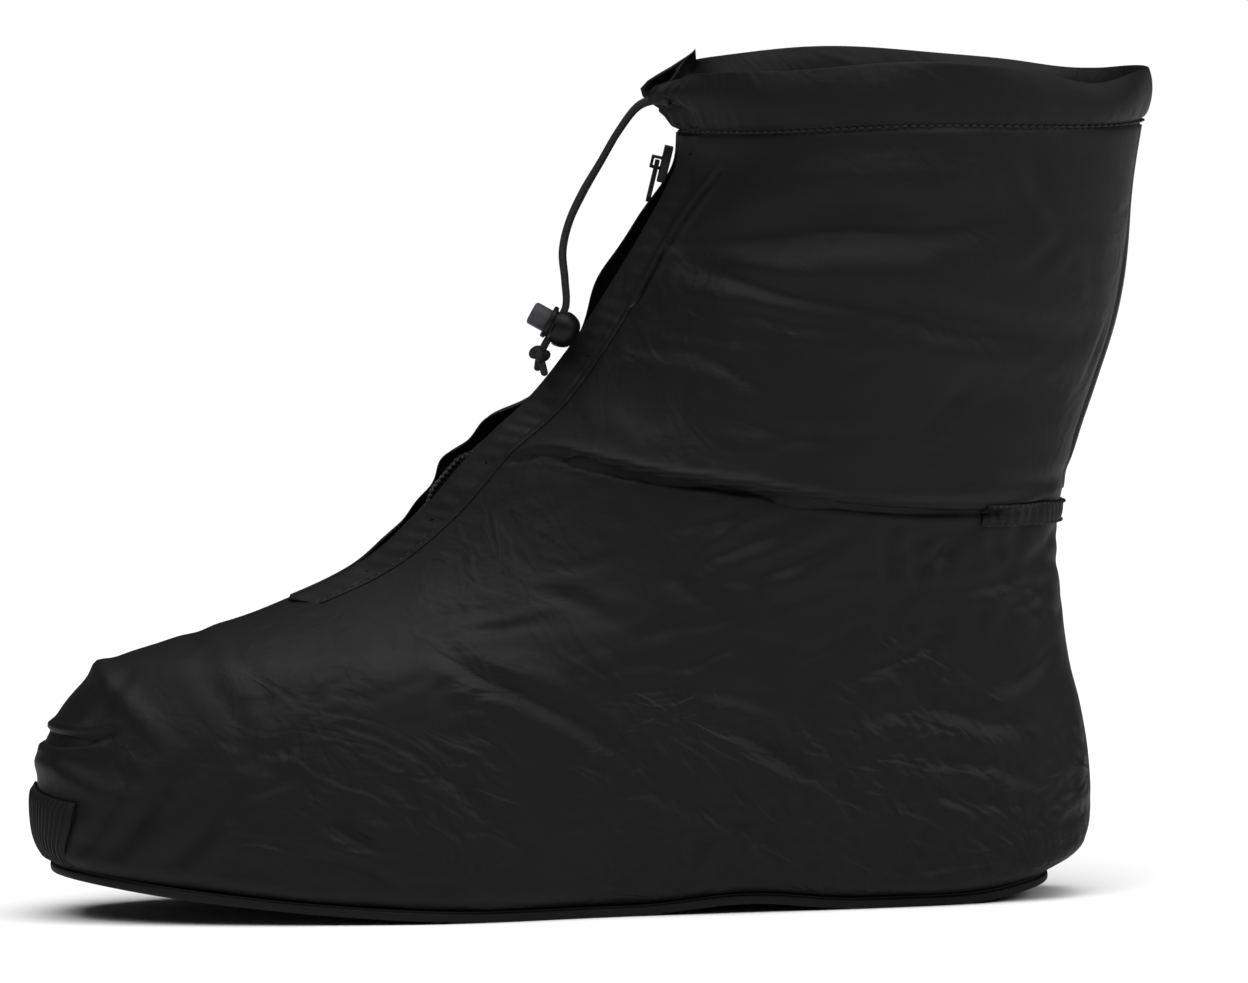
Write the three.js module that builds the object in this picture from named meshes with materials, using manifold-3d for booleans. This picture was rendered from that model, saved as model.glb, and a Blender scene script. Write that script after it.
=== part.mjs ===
// Rain overshoe for cycling: a soft coated-sheet upper on a ribbed sheet sole, with a front coil zip,
// a drawcord hem at the collar and a cord lock. Millimetres, +X to the heel, +Z up.
import * as THREE from "three";
import { mergeVertices } from "three/addons/utils/BufferGeometryUtils.js";
import Module from "manifold-3d";

const wasm = await Module();
wasm.setup();

// Driving dimensions of the shoe.
const shoeLength = 285;
const collarHeight = 225;
const ballWidth = 108;
const heelWidth = 80;
const toeSpring = 13;
const toeSpringReach = 125;
const archRise = 2.3;
const archFront = 160;
const archBack = 222;
const heelRise = 8;
const heelRiseReach = 40;

// Thicknesses of the sheets and the clearance between pieces.
const clearance = 0.3;
const upperWall = 1.2;
const soleThickness = 3;
const soleLip = 2;
const soleBevel = 1.2;
const soleStep = 0.8;
const bumperWall = 1.1;
const bumperRib = 0.6;
const bumperRibPitch = 3;
const bumperWidth = 52;
const bumperStartRow = 0.3;
const bumperFrontTop = 38;
const bumperSideTop = 31;

// Collar hem, its channel and its two front ends.
const casingHeight = 17;
const casingSwell = 2.4;
const casingWall = 1;
const casingGap = 14;
const casingFlare = 9;
const casingFlareReach = 24;
const hemSquareness = 0.75;

// Front zip and its facings.
const zipStart = 68;
const slotWidth = 8;
const tapeWidth = 24;
const tapeThickness = 0.8;
const coilWidth = 5.6;
const coilHeight = 1.8;
const placketWidth = 9.5;
const placketThickness = 1;
const sliderLength = 10;
const sliderHeight = 2.4;
const sliderDrop = 9;
const sliderNose = 0.7;
const bailWidth = 1.8;
const bailWall = 0.8;
const bailClearance = 0.4;
const bailSink = 0.4;
const pullLength = 11;
const pullWidth = 6.4;
const pullRim = 1.2;
const pullBar = 1.2;
const tapeEnd = 6;
const coilEnd = 1;

// Heel elastic and back seam.
const elasticHeight = 6;
const elasticReach = 21;
const elasticLevel = 104;
const seamTapeWidth = 8;
const patchThickness = 0.9;

// Cord, cord lock and knot. The lock's axis leans down to the heel side by lockTilt degrees.
const cordDiameter = 2;
const cordSides = 8;
const cordSteps = 22;
const barrelDiameter = 10;
const barrelLength = 9;
const barrelRound = 2.4;
const plungerDiameter = 6.4;
const plungerReach = 5;
const plungerSink = 4.6;
const plungerRound = 0.8;
const lockTilt = 30;
const lockHoleOffset = -2;
const cordSpacing = 2.4;
const knotDiameter = 6;

// Mesh steps.
const hemSides = 10;
const facingSteps = 24;
const columns = 36;
const stepsPerRow = 2;
const slitSteps = 54;
const stripColumns = 2;
const tapeColumns = 4;
const bumperSteps = 4;
const elasticColumns = 14;
const seamSteps = 10;
const barrelSides = 16;
const plungerSides = 12;
const roundSteps = 3;
const pullSegments = 6;
const knotSides = 10;
const knotRings = 8;
const bisections = 40;

// Upper form: a row for each ring, from the sole edge to the collar rim.
// front and back are shares of shoeLength, frontUp and backUp of collarHeight,
// ball and waist of ballWidth, and heel of heelWidth. tip and tail are powers, lower for a rounder end,
// and follow is how far the ring follows the sole.
const ringColumns = ["front", "frontUp", "back", "backUp", "ball", "waist", "heel", "tip", "tail", "follow"];
const ringShares = [
  [0.016, 0, 0.956, 0, 0.92, 0.7, 0.9, 0.74, 0.58, 1],
  [0.005, 0.02, 0.98, 0.012, 0.965, 0.75, 0.97, 0.74, 0.58, 1],
  [0.001, 0.05, 0.995, 0.03, 0.985, 0.79, 1, 0.74, 0.58, 0.9],
  [0.001, 0.105, 1, 0.09, 0.985, 0.82, 1.02, 0.76, 0.58, 0.6],
  [0.008, 0.178, 1, 0.137, 0.965, 0.83, 1.01, 0.82, 0.6, 0.2],
  [0.018, 0.232, 0.998, 0.185, 0.935, 0.82, 1, 0.92, 0.62, 0],
  [0.04, 0.27, 0.992, 0.232, 0.9, 0.81, 0.98, 1, 0.65, 0],
  [0.075, 0.306, 0.984, 0.275, 0.855, 0.8, 0.965, 1.08, 0.68, 0],
  [0.14, 0.332, 0.979, 0.32, 0.79, 0.78, 0.955, 1.15, 0.72, 0],
  [0.222, 0.365, 0.976, 0.363, 0.74, 0.77, 0.95, 1.3, 0.76, 0],
  [0.3, 0.411, 0.973, 0.406, 0.71, 0.77, 0.95, 1.45, 0.8, 0],
  [0.36, 0.475, 0.974, 0.45, 0.7, 0.77, 0.96, 1.6, 0.82, 0],
  [0.41, 0.545, 0.981, 0.5, 0.71, 0.78, 0.98, 1.7, 0.84, 0],
  [0.465, 0.603, 0.993, 0.555, 0.73, 0.79, 1, 1.75, 0.86, 0],
  [0.508, 0.665, 1.01, 0.615, 0.76, 0.8, 1.02, 1.75, 0.88, 0],
  [0.547, 0.735, 1.031, 0.695, 0.78, 0.81, 1.05, 1.75, 0.9, 0],
  [0.585, 0.808, 1.044, 0.78, 0.79, 0.82, 1.07, 1.7, 0.9, 0],
  [0.614, 0.872, 1.052, 0.86, 0.79, 0.82, 1.08, 1.6, 0.9, 0],
  [0.621, 0.924, 1.061, 0.924, 0.79, 0.82, 1.08, 1.35, 0.9, 0],
  [0.623, 1, 1.071, 0.99, 0.79, 0.82, 1.08, 1.1, 0.9, 0],
];

// Where the ring's ball, waist and heel widths lie, as shares of its length.
const ballShare = 0.36;
const waistShare = 0.62;
const heelShare = 0.86;
const soleSpringPower = 1.6;
const lastRow = ringShares.length - 1;
const hemRow = lastRow - 1;
const normalStep = 0.05;
const soleTop = soleThickness + clearance;

function blend(low, high, value) {
  const share = Math.min(1, Math.max(0, (value - low) / (high - low)));
  return share * share * (3 - 2 * share);
}

function mix(first, second, share) {
  return first + (second - first) * share;
}

// Height of the sole's underside above the floor at a distance from the toe.
function soleCurve(x) {
  const spring = toeSpring * Math.max(0, 1 - x / toeSpringReach) ** soleSpringPower;
  const archPlace = Math.min(1, Math.max(0, (x - archFront) / (archBack - archFront)));
  const arch = archRise * Math.sin(Math.PI * archPlace) ** 2;
  const heelPlace = Math.max(0, (x - shoeLength) / heelRiseReach + 1);
  return spring + arch + heelRise * heelPlace ** 2;
}

// A smooth curve through the rows of the table for one column.
function rowValue(name, row) {
  const column = ringColumns.indexOf(name);
  const place = Math.min(lastRow, Math.max(0, row));
  const index = Math.min(lastRow - 1, Math.floor(place));
  const share = place - index;
  const [before, start, end, after] = [-1, 0, 1, 2].map(
    (step) => ringShares[Math.min(lastRow, Math.max(0, index + step))][column]);
  const rise = (end - before) / 2;
  const fall = (after - start) / 2;
  const square = share * share;
  const cube = square * share;
  return start * (2 * cube - 3 * square + 1) + rise * (cube - 2 * square + share)
    + end * (3 * square - 2 * cube) + fall * (cube - square);
}

// One point of a ring: the angle runs from the toe side, and positive angles are on the +Y side.
function ringPoint(angle, row) {
  const share = (1 - Math.cos(angle)) / 2;
  const x = mix(rowValue("front", row), rowValue("back", row), share) * shoeLength;
  const ball = rowValue("ball", row) * ballWidth;
  const waist = rowValue("waist", row) * ballWidth;
  const heel = rowValue("heel", row) * heelWidth;
  const front = mix(ball, waist, blend(ballShare, waistShare, share));
  const width = mix(front, heel, blend(waistShare, heelShare, share));
  const power = mix(rowValue("tip", row), rowValue("tail", row), blend(ballShare, waistShare, share));
  const y = (width / 2) * Math.sign(Math.sin(angle)) * Math.abs(Math.sin(angle)) ** power;
  const up = mix(rowValue("frontUp", row), rowValue("backUp", row), share) * collarHeight;
  return new THREE.Vector3(x, y, up + rowValue("follow", row) * (soleCurve(x) + soleTop));
}

// The angles of a ring's corners. Those nearest to where the sole's curve changes are moved there,
// so that the flat spots of the heel and the forefoot keep straight edges.
function cornerAngles() {
  const front = ringPoint(0, 0).x;
  const length = ringPoint(Math.PI, 0).x - front;
  const angles = Array.from({ length: columns }, (_, i) => (i * 2 * Math.PI) / columns);
  for (const x of [toeSpringReach, archFront, archBack, shoeLength - heelRiseReach]) {
    const wanted = Math.acos(1 - (2 * (x - front)) / length);
    const nearest = Math.round((wanted * columns) / (2 * Math.PI));
    angles[nearest] = wanted;
    angles[columns - nearest] = 2 * Math.PI - wanted;
  }
  return angles;
}
const ringAngles = cornerAngles();

// The upper's form, moved out along its own normal.
function surface(angle, row, offset) {
  const point = ringPoint(angle, row);
  const around = ringPoint(angle + normalStep, row).sub(ringPoint(angle - normalStep, row));
  const low = Math.max(0, row - normalStep);
  const high = Math.min(lastRow, row + normalStep);
  const upward = ringPoint(angle, high).sub(ringPoint(angle, low));
  const normal = upward.cross(around).normalize();
  return point.addScaledVector(normal, offset);
}

// The angle on a ring at a distance to the side of the front or the back centre line.
function frontAngle(y, row) {
  const half = (rowValue("ball", row) * ballWidth) / 2;
  return Math.sign(y) * Math.asin((Math.abs(y) / half) ** (1 / rowValue("tip", row)));
}

function backAngle(y, row) {
  const half = (rowValue("heel", row) * heelWidth) / 2;
  return Math.PI - Math.sign(y) * Math.asin((Math.abs(y) / half) ** (1 / rowValue("tail", row)));
}

// The row at which a rising measure of the form reaches a value.
function rowWhere(measure, value) {
  let low = 0;
  let high = lastRow;
  for (let turn = 0; turn < bisections; turn += 1) {
    const middle = (low + high) / 2;
    if (measure(middle) < value) low = middle;
    else high = middle;
  }
  return (low + high) / 2;
}

const heightAt = (angle) => (row) => ringPoint(angle, row).z;
const zipStartRow = rowWhere((row) => ringPoint(0, row).x, zipStart);

// A closed solid from points and triangles, turned so that its faces point out.
function solidFrom(points, triangles) {
  let volume = 0;
  for (const [a, b, c] of triangles) {
    volume += points[a].dot(points[b].clone().cross(points[c]));
  }
  const turned = volume < 0 ? triangles.map(([a, b, c]) => [a, c, b]) : triangles;
  const geometry = new THREE.BufferGeometry();
  const values = points.flatMap((point) => point.toArray());
  geometry.setAttribute("position", new THREE.Float32BufferAttribute(values, 3));
  geometry.setIndex(turned.flat());
  return geometry;
}

// A slab between two skins, each a function of the shares across and along it.
// A ring slab closes on itself across.
function slab({ across, along, outer, inner, ring = false }) {
  const points = [];
  const triangles = [];
  const stride = ring ? across : across + 1;
  const skin = stride * (along + 1);
  const quad = (a, b, c, d) => triangles.push([a, b, c], [a, c, d]);
  for (const side of [outer, inner]) {
    for (let j = 0; j <= along; j += 1) {
      for (let i = 0; i < stride; i += 1) points.push(side(i / across, j / along, i, j));
    }
  }
  const at = (i, j) => j * stride + (i % stride);
  for (let i = 0; i < across; i += 1) {
    for (let j = 0; j < along; j += 1) {
      quad(at(i, j), at(i + 1, j), at(i + 1, j + 1), at(i, j + 1));
      quad(skin + at(i, j), skin + at(i, j + 1), skin + at(i + 1, j + 1), skin + at(i + 1, j));
    }
    quad(at(i, 0), skin + at(i, 0), skin + at(i + 1, 0), at(i + 1, 0));
    quad(at(i, along), at(i + 1, along), skin + at(i + 1, along), skin + at(i, along));
  }
  for (let j = 0; j < along && !ring; j += 1) {
    quad(at(0, j), at(0, j + 1), skin + at(0, j + 1), skin + at(0, j));
    quad(at(across, j), skin + at(across, j), skin + at(across, j + 1), at(across, j + 1));
  }
  return solidFrom(points, triangles);
}

// A solid through closed loops of equal count, each mirrored about the shoe's centre line,
// with its two ends filled by strips across the shoe.
function stackedLoops(loops) {
  const count = loops[0].length;
  const triangles = [];
  const quad = (a, b, c, d) => triangles.push([a, b, c], [a, c, d]);
  for (let level = 0; level + 1 < loops.length; level += 1) {
    for (let i = 0; i < count; i += 1) {
      const next = (i + 1) % count;
      quad(level * count + i, level * count + next, (level + 1) * count + next, (level + 1) * count + i);
    }
  }
  const top = (loops.length - 1) * count;
  for (let i = 0; i < count / 2; i += 1) {
    const other = (count - i) % count;
    const otherNext = count - i - 1;
    const bottomRow = [i, other, otherNext, i + 1];
    const corners = bottomRow.filter((value, place) => bottomRow.indexOf(value) === place);
    for (let k = 1; k + 1 < corners.length; k += 1) {
      triangles.push([corners[0], corners[k], corners[k + 1]]);
      triangles.push([top + corners[0], top + corners[k + 1], top + corners[k]]);
    }
  }
  return solidFrom(loops.flat(), triangles);
}

// Joins and cuts go through closed solids with shared corners.
function asSolid(geometry) {
  const shape = geometry.clone();
  shape.deleteAttribute("normal");
  shape.deleteAttribute("uv");
  const merged = mergeVertices(shape);
  return new wasm.Manifold(new wasm.Mesh({
    numProp: 3,
    vertProperties: new Float32Array(merged.attributes.position.array),
    triVerts: new Uint32Array(merged.index.array),
  }));
}

function asGeometry(solid) {
  const mesh = solid.getMesh();
  const geometry = new THREE.BufferGeometry();
  geometry.setAttribute("position", new THREE.BufferAttribute(mesh.vertProperties, 3));
  geometry.setIndex(new THREE.BufferAttribute(mesh.triVerts, 1));
  return geometry;
}

function cut(body, ...tools) {
  return asGeometry(tools.reduce((rest, tool) => rest.subtract(asSolid(tool)), asSolid(body)));
}

function colour(hex, roughness) {
  return new THREE.MeshStandardMaterial({ color: hex, roughness, metalness: 0 });
}

const sheetBlack = () => colour("#1f1f21", 0.5);
const ribBlack = () => colour("#19191b", 0.65);
const clothBlack = () => colour("#141416", 0.85);
const zipBlack = () => colour("#111113", 0.35);
const plasticBlack = () => colour("#222226", 0.4);
const plasticGrey = () => colour("#3c3c3f", 0.45);

const shoe = new THREE.Group();

function add(name, geometry, material) {
  const mesh = new THREE.Mesh(geometry, material);
  mesh.name = name;
  shoe.add(mesh);
  return mesh;
}

// Outsole: one sheet with its toe spring, its arch, a bevelled bottom edge and a stepped top edge.
function outsole() {
  const loop = (inset, height) => {
    const grown = soleLip - inset;
    return ringAngles.map((angle) => {
      const edge = ringPoint(angle, 0);
      const x = edge.x - grown * Math.cos(angle);
      const y = edge.y + grown * Math.sin(angle);
      return new THREE.Vector3(x, y, soleCurve(edge.x) + height);
    });
  };
  return stackedLoops([
    loop(soleBevel, 0),
    loop(0, soleBevel),
    loop(0, soleThickness - soleStep),
    loop(soleStep, soleThickness - soleStep / 2),
    loop(soleStep, soleThickness),
  ]);
}
add("outsole", outsole(), ribBlack());

// Upper: one wall from the sole edge to the hem, slit down the front for the zip.
function upper() {
  const topRow = hemRow - clearance / casingHeight;
  const skin = (offset) => (across, along, i) => surface(ringAngles[i], along * topRow, offset);
  const wall = slab({
    across: columns, along: hemRow * stepsPerRow, outer: skin(0), inner: skin(-upperWall), ring: true,
  });
  const slitSkin = (offset) => (across, along) => {
    const row = mix(zipStartRow, lastRow, along);
    return surface(frontAngle((across - 0.5) * slotWidth, row), row, offset);
  };
  const slitReach = 4 * upperWall;
  const slit = slab({
    across: stripColumns, along: slitSteps, outer: slitSkin(slitReach), inner: slitSkin(-slitReach),
  });
  return cut(wall, slit);
}
add("upper", upper(), sheetBlack());

// Toe bumper: the ribbed sheet turned up round the toe, with its ribs upright.
function toeBumper() {
  const ribs = 2 * Math.floor(bumperWidth / bumperRibPitch / 2) + 1;
  const skin = (offset, rib) => (across, along, i) => {
    const y = (across - 0.5) * bumperWidth;
    const topHeight = mix(bumperFrontTop, bumperSideTop, Math.abs(2 * across - 1));
    const angle = frontAngle(y, bumperStartRow);
    const top = rowWhere(heightAt(angle), topHeight);
    const row = mix(bumperStartRow, top, along);
    const raised = rib * (Math.floor((i + 1) / 2) % 2);
    const point = surface(frontAngle(y, row), row, offset + raised);
    point.z = Math.max(point.z, soleCurve(point.x) + soleTop);
    return point;
  };
  return slab({
    across: 2 * ribs,
    along: bumperSteps,
    outer: skin(clearance + bumperWall, bumperRib),
    inner: skin(clearance, 0),
  });
}
add("toe_bumper", toeBumper(), ribBlack());

// Collar hem: a flattened tube round the top, open at both front ends where the cord leaves it.
const hemMiddleRow = (hemRow + lastRow) / 2;
const flareEndShare = 0.5;
function hemPoint(place, turn, thin) {
  const startAngle = frontAngle(casingGap / 2, hemMiddleRow);
  const angle = mix(startAngle, 2 * Math.PI - startAngle, place);
  const halfHeight = 1 / 2 - thin / casingHeight;
  const row = hemMiddleRow + halfHeight * Math.cos(turn);
  const puff = Math.sign(Math.sin(turn)) * Math.abs(Math.sin(turn)) ** hemSquareness;
  const point = surface(angle, row, puff * (casingSwell + upperWall - thin) - upperWall / 2);
  const fromEnd = Math.max(0, 1 - (Math.abs(point.y) - casingGap / 2) / casingFlareReach);
  const front = 1 - blend(0, flareEndShare, (1 - Math.cos(angle)) / 2);
  point.x -= casingFlare * front * Math.min(1, fromEnd) ** 2;
  return point;
}

function collarCasing() {
  const skin = (thin) => (across, along) => hemPoint(along, across * 2 * Math.PI, thin);
  return slab({
    across: hemSides, along: columns, outer: skin(clearance / 2), inner: skin(casingWall), ring: true,
  });
}
add("collar_casing", collarCasing(), sheetBlack());

// Zip facings: a stitched strip on each side of the slit.
const facingTopRow = hemRow - (2 * clearance) / casingHeight;
function placket(side) {
  const skin = (offset) => (across, along) => {
    const row = mix(zipStartRow, facingTopRow, along);
    return surface(side * frontAngle(slotWidth / 2 + across * placketWidth, row), row, offset);
  };
  return slab({
    across: stripColumns,
    along: facingSteps,
    outer: skin(clearance + placketThickness),
    inner: skin(clearance),
  });
}
add("placket_right", placket(1), clothBlack());
add("placket_left", placket(-1), clothBlack());

// Zip: tape behind the slit, the coil along it, the slider near the top and its hinged pull.
const sliderRow = rowWhere(heightAt(0), collarHeight - casingHeight - sliderDrop);
const sliderPoint = ringPoint(0, sliderRow);
const zipUp = ringPoint(0, sliderRow + normalStep).sub(ringPoint(0, sliderRow - normalStep)).normalize();
const zipOut = new THREE.Vector3(-zipUp.z, 0, zipUp.x);

function stripBehind(width, across, lowRow, highRow, inner, outer) {
  const skin = (offset) => (share, along) => {
    const row = mix(lowRow, highRow, along);
    return surface(frontAngle((share - 0.5) * width, row), row, offset);
  };
  return slab({ across, along: facingSteps, outer: skin(outer), inner: skin(inner) });
}
const tapeOut = -upperWall - clearance;
const tapeLowRow = rowWhere((row) => ringPoint(0, row).x, zipStart - tapeEnd);
const tape = stripBehind(tapeWidth, tapeColumns, tapeLowRow, sliderRow, tapeOut - tapeThickness, tapeOut);
add("zip_tape", tape, clothBlack());
const coilTopRow = rowWhere(heightAt(0), sliderPoint.z - (sliderLength / 2 + clearance) * zipUp.z);
const coilLowRow = rowWhere((row) => ringPoint(0, row).x, zipStart + coilEnd);
const coilOut = coilHeight - upperWall;
const coil = stripBehind(coilWidth, stripColumns, coilLowRow, coilTopRow, -upperWall, coilOut);
add("zip_coil", coil, zipBlack());

// Places a piece drawn with x up the zip, y across and z out from it.
function onZip(geometry, out) {
  const zipAcross = new THREE.Vector3().crossVectors(zipOut, zipUp);
  const basis = new THREE.Matrix4().makeBasis(zipUp, zipAcross, zipOut);
  const place = sliderPoint.clone().addScaledVector(zipOut, out);
  return geometry.applyMatrix4(basis.setPosition(place));
}

function box(length, width, height, x = 0, z = 0) {
  const geometry = new THREE.BoxGeometry(length, width, height);
  return geometry.translate(x, 0, z + height / 2);
}

// The slider's bridge is a low arch along the zip, and the pull's bar turns under it.
const sliderWidth = slotWidth - 2 * clearance;
const bailLength = 2 * (pullBar / 2 + bailClearance + bailWall);
const hingeHeight = sliderHeight + bailClearance + pullBar / 2;
const bailHeight = 2 * bailClearance + pullBar + bailWall;
function zipSlider() {
  const outline = new THREE.Shape();
  const nose = sliderWidth * sliderNose;
  outline.moveTo(-sliderLength / 2, -nose / 2);
  outline.lineTo(0, -sliderWidth / 2);
  outline.lineTo(sliderLength / 2, -sliderWidth / 2);
  outline.lineTo(sliderLength / 2, sliderWidth / 2);
  outline.lineTo(0, sliderWidth / 2);
  outline.lineTo(-sliderLength / 2, nose / 2);
  outline.closePath();
  const plate = new THREE.ExtrudeGeometry(outline, { depth: sliderHeight, bevelEnabled: false });
  const arch = box(bailLength, bailWidth, bailHeight + bailSink, 0, sliderHeight - bailSink);
  const window = box(bailLength - 2 * bailWall, bailWidth * 2, bailHeight - bailWall, 0, sliderHeight);
  const bridge = asSolid(arch).subtract(asSolid(window));
  return asGeometry(asSolid(plate).add(bridge));
}
const sliderOut = coilOut + clearance;
add("zip_slider", onZip(zipSlider(), sliderOut), plasticBlack());

// The pull hangs down the zip from its bar. Its upper hole clears the bridge at every angle.
function zipPull() {
  const outline = new THREE.Shape();
  const half = pullWidth / 2;
  outline.moveTo(pullBar / 2, -half);
  outline.lineTo(pullBar / 2, half);
  outline.lineTo(half - pullLength, half);
  outline.absarc(half - pullLength, 0, half, Math.PI / 2, (3 * Math.PI) / 2, false);
  const bridgeHole = new THREE.Path();
  const holeHalf = bailWidth / 2 + bailClearance;
  const holeEnd = -bailLength / 2 - bailClearance - bailWall;
  bridgeHole.moveTo(-pullBar / 2, -holeHalf);
  bridgeHole.lineTo(holeEnd, -holeHalf);
  bridgeHole.lineTo(holeEnd, holeHalf);
  bridgeHole.lineTo(-pullBar / 2, holeHalf);
  bridgeHole.closePath();
  const fingerHole = new THREE.Path();
  const fingerHalf = half - pullRim;
  fingerHole.absarc(half - pullLength, 0, fingerHalf, Math.PI / 2, (3 * Math.PI) / 2, false);
  fingerHole.absarc(holeEnd - pullRim - fingerHalf, 0, fingerHalf, -Math.PI / 2, Math.PI / 2, false);
  fingerHole.closePath();
  outline.holes.push(bridgeHole, fingerHole);
  const plate = new THREE.ExtrudeGeometry(
    outline, { depth: pullBar, bevelEnabled: false, curveSegments: pullSegments });
  return plate.translate(0, 0, -pullBar / 2);
}
add("zip_pull", onZip(zipPull(), sliderOut + hingeHeight), zipBlack());

// Heel elastic: a short stitched tunnel round the back of the ankle.
function heelElastic() {
  const skin = (offset) => (across, along) => {
    const row = rowWhere(heightAt(Math.PI), elasticLevel + (along - 0.5) * elasticHeight);
    const length = (rowValue("back", row) - rowValue("front", row)) * shoeLength;
    const reach = Math.acos(1 - (2 * elasticReach) / length);
    return surface(Math.PI + (2 * across - 1) * reach, row, offset);
  };
  return slab({
    across: elasticColumns,
    along: stripColumns,
    outer: skin(clearance + patchThickness),
    inner: skin(clearance),
  });
}
add("heel_elastic", heelElastic(), clothBlack());

// Back seam: a tape up the centre of the shaft's back.
function backSeam() {
  const low = rowWhere(heightAt(Math.PI), elasticLevel + elasticHeight);
  const skin = (offset) => (across, along) => {
    const row = mix(low, facingTopRow, along);
    return surface(backAngle((0.5 - across) * seamTapeWidth, row), row, offset);
  };
  return slab({
    across: stripColumns,
    along: seamSteps,
    outer: skin(clearance + patchThickness),
    inner: skin(clearance),
  });
}
add("back_seam", backSeam(), clothBlack());

// Cord lock: a barrel with a sprung plunger, both drilled across for the two cord ends.
// It hangs in front of the shaft, a little to its left.
const lockPlace = new THREE.Vector3(145.2, -10.5, 156.3);
const lockTurn = THREE.MathUtils.degToRad(90 + lockTilt);
const lockAxis = new THREE.Vector3(Math.sin(lockTurn), 0, Math.cos(lockTurn));
const cordDown = new THREE.Vector3(lockAxis.z, 0, -lockAxis.x);
const lockHole = lockPlace.clone().addScaledVector(lockAxis, lockHoleOffset);

// Turns a piece drawn along +Y so that it lies on the lock's axis.
function onLock(geometry) {
  const across = new THREE.Vector3(0, 1, 0);
  const side = new THREE.Vector3().crossVectors(across, lockAxis);
  const basis = new THREE.Matrix4().makeBasis(across, lockAxis, side);
  return geometry.applyMatrix4(basis.setPosition(lockPlace));
}

function crossHole() {
  const wide = cordSpacing + cordDiameter + 2 * clearance;
  const tall = cordDiameter + 2 * clearance;
  const geometry = new THREE.BoxGeometry(wide, tall, 2 * barrelDiameter);
  return onLock(geometry.translate(0, lockHoleOffset, 0));
}

// A lathe profile with its far corner rounded.
function roundedProfile(radius, low, high, corner, lowFirst) {
  const points = [];
  for (let i = 0; i <= roundSteps; i += 1) {
    const turn = (i * Math.PI) / (2 * roundSteps);
    const edge = radius - corner + corner * Math.sin(turn);
    const level = lowFirst ? low + corner * (1 - Math.cos(turn)) : high - corner * (1 - Math.cos(turn));
    points.push(new THREE.Vector2(edge, level));
  }
  return points;
}

function toggleBarrel() {
  const half = barrelLength / 2;
  const bore = plungerDiameter / 2 + clearance;
  const boreBottom = plungerSink - half + clearance;
  const profile = [
    new THREE.Vector2(0, boreBottom), new THREE.Vector2(bore, boreBottom), new THREE.Vector2(bore, -half),
  ];
  const rim = new THREE.Vector2(barrelDiameter / 2 - clearance, -half);
  const farEnd = roundedProfile(barrelDiameter / 2, -half, half, barrelRound, false).reverse();
  const shape = profile.concat([rim], farEnd, [new THREE.Vector2(0, half)]);
  return cut(onLock(new THREE.LatheGeometry(shape, barrelSides)), crossHole());
}

function togglePlunger() {
  const low = -barrelLength / 2 - plungerReach;
  const high = plungerSink - barrelLength / 2;
  const radius = plungerDiameter / 2;
  const end = roundedProfile(radius, low, high, plungerRound, true);
  const inner = [new THREE.Vector2(radius, high), new THREE.Vector2(0, high)];
  const shape = [new THREE.Vector2(0, low)].concat(end, inner);
  return cut(onLock(new THREE.LatheGeometry(shape, plungerSides)), crossHole());
}
add("toggle_barrel", toggleBarrel(), plasticBlack());
add("toggle_plunger", togglePlunger(), plasticGrey());

// The drawcord's two free ends: out of the hem, down in front of the shaft and through the lock.
// A row for each point, with its distance from the toe tip, its place across and its height.
const nearCord = [
  [175.4, -11.1, 216.9], [170.8, -6.8, 216.9], [166.8, -4.8, 215.2], [161.6, -4.8, 209],
  [156.4, -5.2, 200.6], [151.3, -6.2, 192.5], [147.5, -7.6, 184.5], [145.7, -9.2, 177],
  [146.2, -10.9, 169.5],
];
const farCord = [
  [175.4, 11.1, 216.9], [170.8, 6.8, 216.9], [166.9, 4.6, 215.2], [161.8, 2.2, 209],
  [156.6, -0.4, 200.6], [151.7, -2.6, 192.5], [147.7, -4.7, 184.5], [145.9, -6.6, 177],
  [146.3, -8.5, 169.5],
];

function drawcord(points, side) {
  const inLock = lockHole.clone().setY(lockHole.y + (side * cordSpacing) / 2);
  const reach = barrelDiameter / 2 + 2 * clearance;
  const entry = inLock.clone().addScaledVector(cordDown, -reach);
  const exit = inLock.clone().addScaledVector(cordDown, reach);
  const route = points.map((point) => new THREE.Vector3(...point)).concat([entry, inLock, exit]);
  const path = new THREE.CatmullRomCurve3(route, false, "centripetal");
  const section = new THREE.Shape();
  for (let i = 0; i < cordSides; i += 1) {
    const turn = (i * 2 * Math.PI) / cordSides;
    const place = [(Math.cos(turn) * cordDiameter) / 2, (Math.sin(turn) * cordDiameter) / 2];
    if (i === 0) section.moveTo(...place);
    else section.lineTo(...place);
  }
  section.closePath();
  return new THREE.ExtrudeGeometry(section, { steps: cordSteps, extrudePath: path });
}
add("drawcord_near", drawcord(nearCord, -1), clothBlack());
add("drawcord_far", drawcord(farCord, 1), clothBlack());

function cordKnot() {
  const drop = barrelDiameter / 2 + 3 * clearance + knotDiameter / 2;
  const place = lockHole.clone().addScaledVector(cordDown, drop);
  return new THREE.SphereGeometry(knotDiameter / 2, knotSides, knotRings).translate(...place.toArray());
}
add("cord_knot", cordKnot(), clothBlack());

// The origin is on the floor under the middle of the shoe, without its free cord and lock.
const cordPieces = ["drawcord_near", "drawcord_far", "toggle_barrel", "toggle_plunger", "cord_knot"];
const bounds = new THREE.Box3();
for (const mesh of shoe.children) {
  if (!cordPieces.includes(mesh.name)) bounds.expandByObject(mesh, true);
}
const middle = bounds.getCenter(new THREE.Vector3());
shoe.position.set(-middle.x, -middle.y, -bounds.min.z);
export default shoe;
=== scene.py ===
"""Looks of a black rain overshoe for cycling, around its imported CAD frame. Metres, +X to the heel, +Z up."""

import math

import bmesh
import bpy
import numpy as np
from mathutils import Matrix, Quaternion, Vector


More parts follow.
